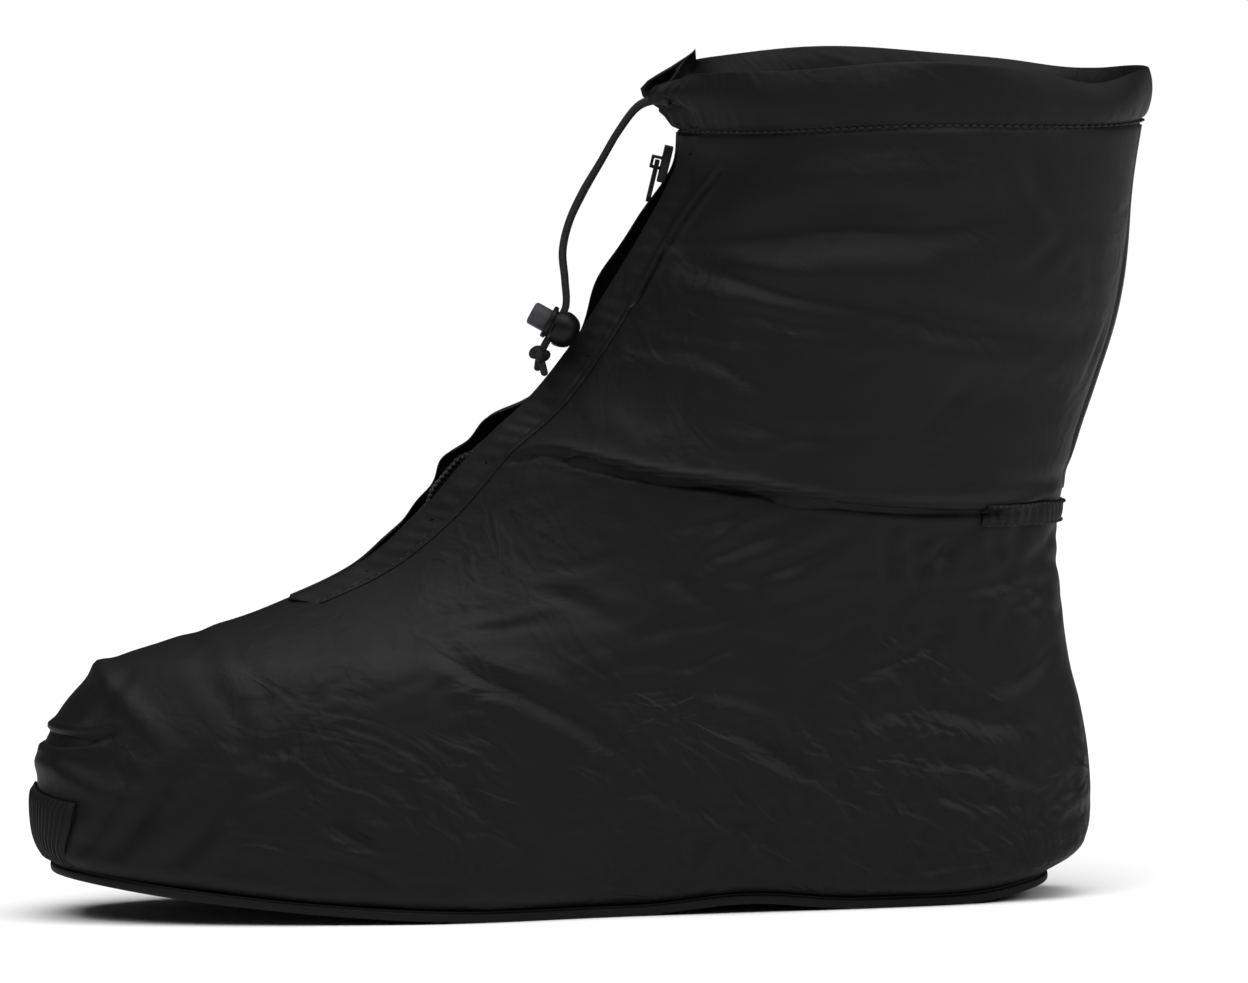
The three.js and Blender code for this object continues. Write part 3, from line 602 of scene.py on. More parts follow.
def fold_lines():
    """Each fold's line on the form: its points, its outward directions, half width, depth and kind."""
    rows = np.linspace(0, hem_row, 220)
    sides = {}
    for name, sign in (("left", -1), ("right", 1)):
        angles = sign * np.linspace(0.0, math.pi, 241)
        grid_angle, grid_row = np.meshgrid(angles, rows)
        sides[name] = (grid_angle.ravel(), grid_row.ravel(), ring_point(grid_angle, grid_row).reshape(-1, 3))
    found = []

    def lay(side, kind, width, depth, line):
        angle, row, points = sides["left" if side == "across" else side]
        laid = []
        for x, z in line:
            near = np.argmin((points[:, 0] - x) ** 2 + (points[:, 2] - z) ** 2)
            laid.append((angle[near], row[near]))
        if side == "across":
            laid = [(-a, r) for a, r in laid[::-1]] + [(0.0, laid[0][1])] + laid
        steps = 8 * (len(laid) - 1) + 1
        route = smooth_route([(a, r, 0.0) for a, r in laid], steps)
        found.append((kind, width, depth, ring_point(route[:, 0], route[:, 1]),
                      ring_normal(route[:, 0], route[:, 1])))

    for fold in folds.strip().splitlines():
        side, kind, width, depth, *places = fold.split()
        width, depth = float(width), float(depth)
        line = [tuple(map(float, place.split(","))) for place in places]
        lay(side, kind, width, depth, line)
        if side == "across":
            continue
        shifted = [(x + 5 * math.sin(z / 31), z - 4 * math.cos(x / 43)) for x, z in line]
        lay("right", kind, width * 1.08, depth * 0.9, shifted)
    for _ in range(small_folds):
        on_foot = fold_draw.random() < 0.72
        if on_foot:
            angle = fold_draw.uniform(0.9, 2.9) * fold_draw.choice((-1, 1))
        else:
            angle = fold_draw.uniform(0.25, 6.0)
        row = fold_draw.uniform(1.2, 11.5) if on_foot else fold_draw.uniform(8.0, hem_row - 1.4)
        turn = fold_draw.normal(-0.5, 0.55)
        length = fold_draw.uniform(9, 26)
        width = fold_draw.uniform(2.1, 3.8)
        depth = fold_draw.uniform(0.25, 0.65) if on_foot else fold_draw.uniform(0.12, 0.4)
        centre = ring_point(angle, row)
        depth = depth * (0.5 if centre[2] > 55.0 and centre[0] < 165.0 else 1.0)
        around = ring_point(angle + 0.05, row) - centre
        upward = ring_point(angle, row + 0.05) - centre
        to_toe = 1 if math.sin(angle) < 0 else -1
        half_turn = length / 2 * math.cos(turn) * 0.05 / np.linalg.norm(around) * to_toe
        half_row = length / 2 * math.sin(turn) * 0.05 / np.linalg.norm(upward)
        shares = np.linspace(-1, 1, 7)
        bow = fold_draw.uniform(-0.25, 0.25) * (1 - shares ** 2)
        angles = angle + half_turn * (shares - bow * math.sin(turn))
        rows_along = np.clip(row + half_row * shares + bow * abs(half_turn) * 4, 0, hem_row)
        found.append(("crease", width, depth, ring_point(angles, rows_along),
                      ring_normal(angles, rows_along)))
    return found


laid_folds = fold_lines()


def fold_relief(points):
    """How far the folds move points of the form, as a vector for each, in millimetres."""
    points = np.asarray(points, float)
    moved = np.zeros_like(points)
    for kind, width, depth, line, outward in laid_folds:
        reach = 4 * width
        near = np.all((points > line.min(0) - reach) & (points < line.max(0) + reach), axis=1)
        index = np.nonzero(near)[0]
        if not len(index):
            continue
        p = points[index]
        best = np.full(len(p), 1e9)
        signed, share = np.zeros(len(p)), np.zeros(len(p))
        normal = np.zeros_like(p)
        for k in range(len(line) - 1):
            run = line[k + 1] - line[k]
            t = np.clip((p - line[k]) @ run / (run @ run), 0, 1)
            offset = p - (line[k] + t[:, None] * run)
            distance = np.linalg.norm(offset, axis=1)
            closer = distance < best
            best[closer] = distance[closer]
            share[closer] = ((k + t) / (len(line) - 1))[closer]
            upper_side = np.sign(offset @ np.cross(outward[k], run) * (-1 if outward[k][1] > 0 else 1))
            signed[closer] = (distance * upper_side)[closer]
            normal[closer] = outward[k]
        fade = np.sin(np.pi * np.clip(share * 0.9 + 0.05, 0, 1)) ** 0.7
        if kind == "crease":
            rolls = 0.42 * np.exp(-((best - 1.25 * width) / (0.75 * width)) ** 2)
            section = -np.exp(-(best / (0.62 * width)) ** 2) + rolls
        elif kind in ("roll", "press"):
            section = np.exp(-(best / width) ** 2) * (1 if kind == "roll" else -1)
        else:
            over = ease(-0.5 * width, 0.35 * width, signed)
            above = np.exp(-np.maximum(signed, 0) / (1.5 * width)) * over
            below = np.exp(-(np.minimum(signed, 0) / (1.1 * width)) ** 2) * (1 - over)
            section = above - 0.7 * below
        moved[index] += normal * (depth * fade * section)[:, None]
    zip_hold = ease(4.5, 16.0, np.abs(points[:, 1])) + ease(0.0, 30.0, points[:, 0] - 190) + ease(
        62.0, 48.0, points[:, 0])
    sole_hold = ease(sole_top, sole_top + 9, points[:, 2] - sole_curve(points[:, 0]))
    hem_hold = ease(0.0, 14.0, 210 - points[:, 2])
    return moved * (np.clip(zip_hold, 0, 1) * sole_hold * hem_hold)[:, None]


# Rises and dips of the collar. Columns: lift at the seam, more at the rim, middle, half length, all in mm.
near_rises = ((1.6, 2.6, 240, 32), (0, -3.6, 289, 12))
far_rises = ((1.6, 3.4, 216, 36), (0, -1.6, 285, 14))


def collar_arch(points, height):
    """How far the collar rises in its middle, and dips before the heel, at a share of the hem's height."""
    x, far = points[..., 0], ease(-12.0, 12.0, points[..., 1])
    near_rise, far_rise = [sum((seam + rim * height) * np.exp(-((x - middle) / reach) ** 2)
                               for seam, rim, middle, reach in rises) for rises in (near_rises, far_rises)]
    return near_rise * (1 - far) + far_rise * far + 0.9 * height * ease(292, 305, x)


def draped(angle, row, out=0.0):
    """Points of the sheet with its folds, at a distance out from it, in millimetres from the toe tip."""
    angle, row = np.broadcast_arrays(np.asarray(angle, float), np.asarray(row, float))
    points = ring_point(angle, row)
    relief = fold_relief(points.reshape(-1, 3)).reshape(points.shape)
    above_sole = points[..., 2] - sole_curve(points[..., 0]) - sole_top
    hang = (1.15 + 0.35 * np.sin(points[..., 0] / 9)) * np.exp(-((above_sole - 3.0) / 2.6) ** 2)
    relief[..., 2] += collar_arch(points, 0.0) * ease(185, 208, points[..., 2])
    return points + relief + ring_normal(angle, row) * (np.asarray(out) + hang)[..., None]


# PVC-coated polyester: a satin black film with a fine leather grain, drawn at 0.5 mm so that it shows,
# hairline crazing along the folds and a faint bloom of dust that dulls the gloss in patches.
coated_sheet, tree = finish_material("pvc_coated_polyester")
place = node(tree, "TexCoord").outputs["Object"]
grain = node(tree, "TexVoronoi", {"feature": "SMOOTH_F1"}, Vector=place, Scale=1 / (0.5 * MM))
slack = node(tree, "TexNoise", Vector=place, Scale=60.0, Detail=3.0, Roughness=0.55, Distortion=0.5)
spot = node(tree, "SeparateXYZ", Vector=place)
crinkled = [slack]
# Crinkles run slantwise down the foot's side. Each row: lean in degrees, length and width of a crinkle in mm.
for lean, crinkle_length, crinkle_width, crinkle_share in ((32, 44.0, 16.0, 1.0), (52, 30.0, 12.0, 0.5),
                                                           (4, 38.0, 14.0, 0.6)):
    leaned = node(tree, "Mapping", {"vector_type": "TEXTURE"}, Vector=place,
                  Rotation=(0.0, math.radians(lean), 0.0), Scale=(crinkle_length / crinkle_width, 1.0, 1.0))
    ripple = node(tree, "TexNoise", Vector=leaned, Scale=1 / (crinkle_width * MM),
                  Detail=2.0, Roughness=0.5, Distortion=1.3)
    centred = node(tree, "Math", {"operation": "SUBTRACT"}, _0=ripple, _1=0.5)
    folded = node(tree, "Math", {"operation": "ABSOLUTE"}, _0=centred)
    ridge = node(tree, "MapRange", {"interpolation_type": "SMOOTHERSTEP"}, Value=folded,
                 From_Min=0.0, From_Max=0.16, To_Min=crinkle_share, To_Max=0.0)
    crinkled.append(ridge)
low_down = node(tree, "MapRange", {"interpolation_type": "SMOOTHSTEP"}, Value=spot.outputs["Z"],
                From_Min=0.045, From_Max=0.085, To_Min=1.0, To_Max=0.2)
off_toe = node(tree, "MapRange", {"interpolation_type": "SMOOTHSTEP"}, Value=spot.outputs["X"],
               From_Min=-0.11, From_Max=-0.03, To_Min=0.12, To_Max=1.0)
patches = node(tree, "TexNoise", Vector=place, Scale=22.0, Detail=1.0)
patchy = node(tree, "MapRange", {"interpolation_type": "SMOOTHSTEP"}, Value=patches,
              From_Min=0.36, From_Max=0.54)
where = node(tree, "Math", {"operation": "MULTIPLY"}, _0=low_down, _1=off_toe)
where = node(tree, "Math", {"operation": "MULTIPLY"}, _0=where, _1=patchy)
relief = crinkled[0]
for ridge in crinkled[1:]:
    relief = node(tree, "Math", {"operation": "MULTIPLY_ADD"}, _0=ridge, _1=where, _2=relief)
soft_bump = node(tree, "Bump", Strength=0.38, Distance=0.0014, Height=relief)
fine_bump = node(tree, "Bump", Strength=0.2, Distance=0.00008, Height=grain, Normal=soft_bump)
dust = node(tree, "TexNoise", Vector=place, Scale=28.0, Detail=6.0, Roughness=0.7)
gloss = node(tree, "MapRange", Value=dust, From_Min=0.3, From_Max=0.7, To_Min=0.54, To_Max=0.68)
film = node(tree, "Mix", {"data_type": "RGBA"}, _0=dust, _6=tone("#060607"), _7=tone("#0b0b0c"))
sheet_shader = node(tree, "BsdfPrincipled", Base_Color=film.outputs[2], IOR=1.53,
                    Specular_IOR_Level=0.15, Roughness=gloss, Normal=fine_bump)
node(tree, "OutputMaterial", Surface=sheet_shader)

zip_start_row = row_where(lambda row: ring_point(0.0, row)[0], zip_start)
top_row = hem_row - clearance / casing_height
sheet_columns = 360
rows_below, rows_above, inner_stride = 90, 114, 6


def even_rows(low, high, count):
    """Rows evenly spaced up the side of the form."""
    fine = np.linspace(low, high, 600)
    run = run_along(ring_point(-math.pi / 2, fine))
    return np.interp(np.linspace(0, run[-1], count + 1), run, fine)


def even_angles(row, half_gap, count):
    """Angles evenly spaced along a ring, from one edge of the slit round to the other."""
    start = float(front_angle(half_gap, row)) if half_gap > 0 else 0.0
    fine = start + (2 * math.pi - 2 * start) * (1 - np.cos(np.linspace(0, math.pi, 1501))) / 2
    run = run_along(ring_point(fine, row))
    return np.interp(np.linspace(0, run[-1], count + 1), run, fine), run[-1]


sheet_rows = np.concatenate([even_rows(0, zip_start_row, rows_below),
                             even_rows(zip_start_row, top_row, rows_above)[1:]])
sheet_rows[-1] = hem_row + 1.0 / casing_height
half_gaps = slot_width / 2 * np.clip((sheet_rows - zip_start_row) / 0.9, 0, 1) ** 0.6
grid = [even_angles(row, gap, sheet_columns) for row, gap in zip(sheet_rows, half_gaps)]
sheet_angles = np.array([angles for angles, _ in grid])
sheet_row_grid = sheet_rows[:, None]
# The shell's last row is tucked up into the hem.
tuck = np.where(sheet_row_grid > hem_row, 0.45, 0.0)
outer = draped(sheet_angles, sheet_row_grid, -tuck)
inner_rows = np.arange(0, len(sheet_rows), inner_stride)
inner = draped(sheet_angles[inner_rows], sheet_row_grid[inner_rows], tuck[inner_rows] * 0.7 - upper_wall)


def grid_index(skin, start=0):
    """Vertex numbers for a grid of points."""
    return start + np.arange(skin.shape[0] * skin.shape[1]).reshape(skin.shape[:2])


def two_skins(outer_skin, inner_skin):
    """The points of two grids as one list, in metres in the row frame."""
    return in_row_frame(np.concatenate([outer_skin.reshape(-1, 3), inner_skin.reshape(-1, 3)]))


def grid_faces(index, flip=False):
    """Quads of a grid of vertex numbers, without the corners that two edges share."""
    quads = np.stack([index[:-1, :-1], index[:-1, 1:], index[1:, 1:], index[1:, :-1]], axis=-1).reshape(-1, 4)
    quads = quads[:, ::-1] if flip else quads
    plain = (np.diff(np.sort(quads, axis=1), axis=1) > 0).all(axis=1)
    faces = quads[plain].tolist()
    return faces + [list(dict.fromkeys(q)) for q in quads[~plain].tolist() if len(set(q)) > 2]


sheet_index = grid_index(outer)
inner_index = grid_index(inner, sheet_index.size)
closed_inner = rows_below // inner_stride
for index, closed_row in ((sheet_index, rows_below), (inner_index, closed_inner)):
    index[:closed_row + 1, -1] = index[:closed_row + 1, 0]
faces = grid_faces(sheet_index, flip=True) + grid_faces(inner_index)
faces += grid_faces(np.stack([sheet_index[0], inner_index[0]])[::-1], flip=True)
faces += grid_faces(np.stack([sheet_index[-1], inner_index[-1]]), flip=True)
for edge, flip in ((0, False), (-1, True)):
    for k in range(closed_inner, len(inner_rows) - 1):
        low, high = int(inner_index[k, edge]), int(inner_index[k + 1, edge])
        span = [int(v) for v in sheet_index[inner_rows[k]:inner_rows[k + 1] + 1, edge]]
        middle = inner_stride // 2
        fan = [[low, a, b] for a, b in zip(span[:middle], span[1:middle + 1])] + [[low, span[middle], high]]
        fan += [[high, a, b] for a, b in zip(span[middle:-1], span[middle + 1:])]
        faces += [corner[::-1] if flip else corner for corner in fan]
vertices = two_skins(outer, inner)
used = np.zeros(len(vertices), bool)
used[[v for face in faces for v in face]] = True
renumber = np.cumsum(used) - 1
faces = [[int(renumber[v]) for v in face] for face in faces]
upper = put_mesh("upper_shell", vertices[used], faces, coated_sheet, "shoe")
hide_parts("upper")

# ---------------------------------------------------------------- outsole: ribbed sheet under the foot
# A 3 mm sheet of ribbed PVC, its edge bevelled below and stepped above where the upper is welded to it.
# Long moulded ribs run from toe to heel in a shallow recess and carry on up the toe as its bumper.
sole_lip = 2.0
rib_recess = 0.7
rib_pitch = 2.6
rib_width = 1.5
sole_edge = [(5.0, rib_recess), (4.6, 0.1), (4.2, 0.0), (1.2, 0.0), (0.55, 0.22), (0.15, 0.62), (0.0, 1.2),
             (0.0, 2.1), (0.12, 2.32), (0.5, 2.5), (0.8, 2.66), (0.8, 3.0)]

# Ribbed PVC: matt black with a fine moulded tooth, scuffed paler where the ribs meet the ground.
ribbed_sheet, tree = finish_material("ribbed_pvc_sheet")
place = node(tree, "TexCoord").outputs["Object"]
tooth = node(tree, "TexNoise", Vector=place, Scale=1 / (0.6 * MM), Detail=3.0)
scuff = node(tree, "TexNoise", Vector=place, Scale=70.0, Detail=6.0, Roughness=0.75)
height = node(tree, "SeparateXYZ", Vector=place)
worn = node(tree, "MapRange", Value=height.outputs["Z"], From_Min=0.0006, From_Max=0.0)
scuffed = node(tree, "Math", {"operation": "MULTIPLY"}, _0=worn, _1=scuff)
skin_colour = node(tree, "Mix", {"data_type": "RGBA"}, _0=scuff, _6=tone("#070708"), _7=tone("#0c0c0d"))
ground_colour = node(tree, "Mix", {"data_type": "RGBA"}, _0=scuffed,
                     _6=skin_colour.outputs[2], _7=tone("#3a3938"))
bump = node(tree, "Bump", Strength=0.35, Distance=0.0001, Height=tooth)
gloss = node(tree, "MapRange", Value=scuff, To_Min=0.56, To_Max=0.74)
rib_shader = node(tree, "BsdfPrincipled", Base_Color=ground_colour.outputs[2], IOR=1.53,
                  Specular_IOR_Level=0.15, Roughness=gloss, Normal=bump)
node(tree, "OutputMaterial", Surface=rib_shader)

sole_turns = 2 * math.pi * np.arange(288) / 288


def sole_loop(inset, height):
    """One closed line round the sole, at an inset from its edge and a height above its underside."""
    edge = ring_point(sole_turns, 0.0)
    grown = sole_lip - 1.1 * ease(45, 12, edge[:, 0]) - 1.3 * ease(250, 272, edge[:, 0]) - inset
    x = edge[:, 0] - grown * np.cos(sole_turns)
    y = edge[:, 1] + grown * np.sin(sole_turns)
    return np.stack([x, y, sole_curve(edge[:, 0]) + height], axis=1)


vertices = np.concatenate([sole_loop(*row) for row in sole_edge])
turns = len(sole_turns)
faces = [[level * turns + i, level * turns + (i + 1) % turns, (level + 1) * turns + (i + 1) % turns,
          (level + 1) * turns + i] for level in range(len(sole_edge) - 1) for i in range(turns)]
top = (len(sole_edge) - 1) * turns
for i in range(turns // 2):
    across = list(dict.fromkeys([i, (turns - i) % turns, turns - i - 1, i + 1]))
    if len(across) > 2:
        faces.append(across[::-1])
        faces.append([top + v for v in across])
inner_edge = sole_loop(*sole_edge[0])[:turns // 2 + 1]
rib_x = np.linspace(inner_edge[0, 0] + 1, inner_edge[-1, 0] - 1, 400)
half_width = np.interp(rib_x, inner_edge[:, 0], np.abs(inner_edge[:, 1]))
rib_corners = [(-rib_width / 2 - 0.15, 0.0), (-rib_width / 2 + 0.1, 1.0), (rib_width / 2 - 0.1, 1.0),
               (rib_width / 2 + 0.15, 0.0)]
for rib_y in [k * rib_pitch for k in range(-19, 20)]:
    inside = rib_x[half_width > abs(rib_y) + rib_width / 2 + 0.3]
    if len(inside) < 12:
        continue
    run = np.linspace(inside[0], inside[-1], 64)
    start = len(vertices)
    drop = rib_recess * np.minimum(1, np.minimum(run - run[0], run[-1] - run) / 1.2)
    for x, fall in zip(run, drop):
        base = float(sole_curve(x)) + rib_recess
        vertices = np.concatenate([vertices, [(x, rib_y + dy, base + 0.05 * (1 - deep) - fall * deep)
                                              for dy, deep in rib_corners]])
    for i in range(len(run) - 1):
        for k in range(4):
            a, b = start + 4 * i + k, start + 4 * i + (k + 1) % 4
            faces.append([a, a + 4, b + 4, b])
    faces += [[start + k for k in range(4)], [start + 4 * (len(run) - 1) + k for k in range(4)][::-1]]


def outward(piece):
    """Turns a closed piece's faces outwards, after its doubles are merged."""
    shape = bmesh.new()
    shape.from_mesh(piece.data)
    bmesh.ops.remove_doubles(shape, verts=shape.verts, dist=0.002 * MM)
    bmesh.ops.recalc_face_normals(shape, faces=shape.faces)
    shape.to_mesh(piece.data)
    shape.free()
    return piece


outsole = put_mesh("outsole_ribbed", in_row_frame(vertices), faces, ribbed_sheet, "shoe")
outward(outsole)
outsole.data.set_sharp_from_angle(angle=math.radians(38))
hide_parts("outsole")

# ---------------------------------------------------------------- toe bumper: the ribbed sheet turned up
# The same ribbed sheet comes up round the toe with its ribs upright, 1.5 mm apart. Its two side edges are
# welded to the upper as a thin raised lip, and the upper folds down over its top edge.
bumper_wall = 1.1
bumper_rib = 0.55
bumper_width = 52.0
bumper_start_row = 0.3
bumper_front_top, bumper_side_top = 36.2, 32.4
bumper_ribs = 35


def slab_piece(name, outer_skin, inner_skin, material, replaced, crease=40):
    """A closed piece between two skins, each a grid of points in millimetres from the toe tip."""
    index = grid_index(outer_skin)
    under = index + index.size
    faces = grid_faces(index) + grid_faces(under, flip=True)
    for a, b in ((index[0], under[0]), (under[-1], index[-1]), (under[:, 0], index[:, 0]),
                 (index[:, -1], under[:, -1])):
        faces += grid_faces(np.stack([a, b]), flip=True)
    piece = outward(put_mesh(name, two_skins(outer_skin, inner_skin), faces, material, "shoe"))
    piece.data.set_sharp_from_angle(angle=math.radians(crease))
    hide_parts(replaced)


across = np.linspace(-1, 1, bumper_ribs * 6 + 1)
rib_turn = (across + 1) / 2 * bumper_ribs * 2 * math.pi
lip = np.exp(-((np.abs(across) - 0.955) / 0.022) ** 2)
rib_height = bumper_rib * ease(-0.6, 0.6, -np.cos(rib_turn)) * (np.abs(across) < 0.93)
bumper_top = bumper_front_top + (bumper_side_top - bumper_front_top) * np.abs(across)
bumper_rows = []
for share, top_height in zip(across, bumper_top):
    angle = float(front_angle(share * bumper_width / 2, bumper_start_row))
    bumper_rows.append(row_where(lambda row: ring_point(angle, row)[2], top_height))
bumper_up = np.linspace(0, 1, 25)
row_grid = bumper_start_row + np.outer(bumper_up, np.array(bumper_rows) - bumper_start_row)
foot_share = 0.86 + 0.16 * ease(0.0, 0.9, bumper_up)[:, None]
angle_grid = front_angle(across * foot_share * bumper_width / 2, row_grid)
edge_fade = ease(0, 0.06, bumper_up)[:, None] * ease(1.0, 0.9, bumper_up)[:, None]
raised = (rib_height * edge_fade + 0.45 * lip) + clearance + bumper_wall * (0.45 + 0.55 * edge_fade)
bumper_outer = ring_point(angle_grid, row_grid) + ring_normal(angle_grid, row_grid) * raised[..., None]
bumper_inner = ring_point(angle_grid, row_grid) + ring_normal(angle_grid, row_grid) * clearance
for skin in (bumper_outer, bumper_inner):
    skin[..., 2] = np.maximum(skin[..., 2], sole_curve(skin[..., 0]) + sole_top)
slab_piece("toe_bumper_ribbed", bumper_outer, bumper_inner, ribbed_sheet,
           "toe_bumper", crease=60)

# ---------------------------------------------------------------- stitches: shared thread and its tree
# Bonded polyester thread in lockstitches 2.3 mm apart, drawn 0.7 mm thick so that they show. One Geometry
# Nodes tree lays a stitch for each pitch along a seam line.
stitch_pitch = 2.3 * MM
thread = 0.34 * MM

sewing_thread, tree = finish_material("bonded_polyester_thread")
place = node(tree, "TexCoord").outputs["Object"]
ply = node(tree, "TexWave", {"wave_type": "BANDS", "bands_direction": "DIAGONAL"}, Vector=place,
           Scale=900.0, Distortion=1.5)
bump = node(tree, "Bump", Strength=0.4, Distance=0.00006, Height=ply.outputs["Fac"])
# Painted shading: the raised plies of the twist are painted paler and the grooves between them darker.
painted_ply_shading = node(tree, "Mix", {"data_type": "RGBA"}, _0=ply.outputs["Fac"], _6=tone("#0a0a0b"),
           _7=tone("#19191b"))
thread_shader = node(tree, "BsdfPrincipled", Base_Color=painted_ply_shading.outputs[2], Roughness=0.55,
                     Specular_IOR_Level=0.22, Normal=bump)
node(tree, "OutputMaterial", Surface=thread_shader)


def repeat_tree(name, material, sides, rings):
    """A tree that puts one rounded bead at each pitch along a line, stretched to the given half sizes."""
    group = bpy.data.node_groups.new(name, "GeometryNodeTree")
    group.interface.new_socket("Line", in_out="INPUT", socket_type="NodeSocketGeometry")
    pitch = group.interface.new_socket("Pitch", in_out="INPUT", socket_type="NodeSocketFloat")
    bead = group.interface.new_socket("Bead half sizes", in_out="INPUT", socket_type="NodeSocketVector")
    group.interface.new_socket("Beads", in_out="OUTPUT", socket_type="NodeSocketGeometry")
    given = group.nodes.new("NodeGroupInput")
    line = node(group, "GeometryNodeMeshToCurve", Mesh=given.outputs["Line"])
    even = node(group, "GeometryNodeResampleCurve", {"mode": "LENGTH"}, Curve=line,
                Length=given.outputs["Pitch"])
    tangent = node(group, "GeometryNodeInputTangent")
    turn = node(group, "FunctionNodeAlignRotationToVector", {"axis": "X", "pivot_axis": "Y"}, Vector=tangent)
    ball = node(group, "GeometryNodeMeshUVSphere", Segments=sides, Rings=rings, Radius=1.0)
    round_ball = node(group, "GeometryNodeSetShadeSmooth", Geometry=ball)
    laid = node(group, "GeometryNodeInstanceOnPoints", Points=even, Instance=round_ball, Rotation=turn,
                Scale=given.outputs["Bead half sizes"])
    real = node(group, "GeometryNodeRealizeInstances", Geometry=laid)
    coloured = node(group, "GeometryNodeSetMaterial", Geometry=real, Material=material)
    out = group.nodes.new("NodeGroupOutput")
    group.links.new(coloured.outputs["Geometry"], out.inputs["Beads"])
    return group, pitch.identifier, bead.identifier


stitch_tree = repeat_tree("stitch_row", sewing_thread, 8, 6)


def beads_along(name, lines, tree_parts, pitch, half_sizes, body):
    """Runs a repeat tree over lines of points in metres and keeps the result as one plain mesh piece."""
    group, pitch_socket, bead_socket = tree_parts
    mesh = bpy.data.meshes.new(name)
    points, edges = [], []
    for line in lines:
        start = len(points)
        points += [tuple(p) for p in np.asarray(line).tolist()]
        edges += [(start + i, start + i + 1) for i in range(len(line) - 1)]
    mesh.from_pydata(points, edges, [])
    piece = stand(name, mesh)
    row = piece.modifiers.new("repeat", "NODES")
    row.node_group = group
    row[pitch_socket] = pitch
    row[bead_socket] = half_sizes
    settle(piece)
    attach(piece, body)
    return piece


# ---------------------------------------------------------------- collar hem: the drawcord's channel
# The top edge is turned over and stitched down 17 mm below the rim, which leaves a soft channel for the cord.
# Its two front ends are open, stand off from the shaft, and show the dark inside of the channel.
casing_wall = 1.0
casing_gap = 14.0
casing_flare, casing_flare_reach = 9.0, 24.0
hem_middle_row = (hem_row + last_row) / 2
hem_around, hem_along = 36, 340
hem_run = 300.0


def hem_skin(place, turn, thin):
    """Points of the hem's tube. place runs from one front end round to the other, and turn round the tube."""
    start = float(front_angle(casing_gap / 2, hem_middle_row))
    angle = start + (2 * math.pi - 2 * start) * place
    height = (1 + np.cos(turn)) / 2
    row = hem_middle_row + (0.5 - thin / casing_height) * np.cos(turn)
    side = np.sign(np.sin(turn) + 1e-9)
    outside = side > 0
    run = place * hem_run
    swell = np.sin(math.pi * np.clip(height, 0, 1) ** 0.8)
    puff = np.where(outside, 1.5, 2.9) + 0.8 * np.sin(run * 0.075 + 1.0) + 0.5 * np.sin(run * 0.21 + 2.0)
    half = np.maximum(0.06, upper_wall / 2 + puff * swell - (thin - clearance / 2))
    base = ring_point(angle, row)
    from_end = np.clip(1 - (np.abs(base[..., 1]) - casing_gap / 2) / casing_flare_reach, 0, 1)
    front = 1 - ease(0, 0.5, (1 - np.cos(angle)) / 2)
    far = base[..., 1] > 0
    pressed = far * front * ease(0.62, 0.8, height)
    half = half * (1 - 0.5 * pressed * ease(0.6, 0.95, from_end))
    if thin > clearance:
        half = half * (1 - 0.9 * pressed * ease(0.8, 0.97, from_end))
    crumple = 0.8 * np.sin(5 * turn + 1.1 * run) * np.sin(0.8 * run + 3.0) * front
    crumple = crumple * ease(0.45, 0.95, from_end) * np.where(far, 0.2, 1)
    rounding = np.abs(np.sin(turn)) ** (0.45 + 0.4 * height)
    seam_pinch = -0.75 * np.exp(-((height - 0.075) / 0.035) ** 2) * outside
    gathers = 0.16 * np.sin(run * 0.95 + 1.3 * np.sin(run * 0.21))
    gathers = gathers + 0.14 * np.sin(run * 1.9 + 2 * np.sin(run * 0.13))
    gathers = gathers * np.exp(-((height - 0.2) / 0.16) ** 2) * (0.6 + 0.9 * np.exp(-((run - 22) / 18) ** 2))
    out = side * rounding * half - upper_wall / 2 + seam_pinch + gathers * outside + crumple * rounding
    dent = np.exp(-((height - 0.36) / 0.15) ** 2 - ((from_end - 0.83) / 0.11) ** 2)
    out = out - 3.2 * dent * outside * (1 - far) * front
    points = base + ring_normal(angle, row) * out[..., None]
    flared = np.where(outside, np.exp(-((height - 0.60) / 0.25) ** 2), np.exp(-((height - 0.46) / 0.36) ** 2))
    flared = np.where(far, np.exp(-((height - 0.48) / 0.24) ** 2), flared)
    points[..., 0] -= casing_flare * front * from_end ** 2 * flared
    points[..., 0] += np.where(far, 3.6, 2.2) * front * from_end ** 3 * ease(0.75, 1.0, height)
    ragged = 0.9 * np.sin(4 * turn + 0.6) + 0.7 * np.sin(9 * turn + 2.0)
    points[..., 0] += ragged * front * ease(0.8, 1.0, from_end) * (1 - far)
    far_tip = 3.2 * far * front * ease(0.82, 0.92, from_end) * height ** 1.2
    points[..., 2] += collar_arch(base, height) + far_tip
    near_sag = 1.6 * (points[..., 1] < 0) * front * from_end * height
    points[..., 2] += 0.5 * np.sin(run * 0.062 + 2.2) * height - near_sag
    return points


hem_place, hem_turn = np.meshgrid((1 - np.cos(np.linspace(0, math.pi, hem_along + 1))) / 4
                                  + np.linspace(0, 1, hem_along + 1) / 2,
                                  np.linspace(0, 2 * math.pi, hem_around, endpoint=False), indexing="ij")
hem_outer = hem_skin(hem_place, hem_turn, clearance / 2)
hem_inner = hem_skin(hem_place, hem_turn, casing_wall)
index = grid_index(hem_outer)
index = np.concatenate([index, index[:, :1]], axis=1)
under = index + hem_place.size
faces = grid_faces(index) + grid_faces(under, flip=True)
for mouth in ((index[0], under[0]), (under[-1], index[-1])):
    faces += grid_faces(np.stack(mouth), flip=True)
hem = put_mesh("collar_hem", two_skins(hem_outer, hem_inner), faces, coated_sheet, "shoe")
outward(hem)
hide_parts("collar_casing")
seam_place = np.linspace(0.004, 0.996, 700)
seam_turn = np.full_like(seam_place, math.pi - 0.555)
hem_seam = hem_skin(seam_place, seam_turn, -0.38)
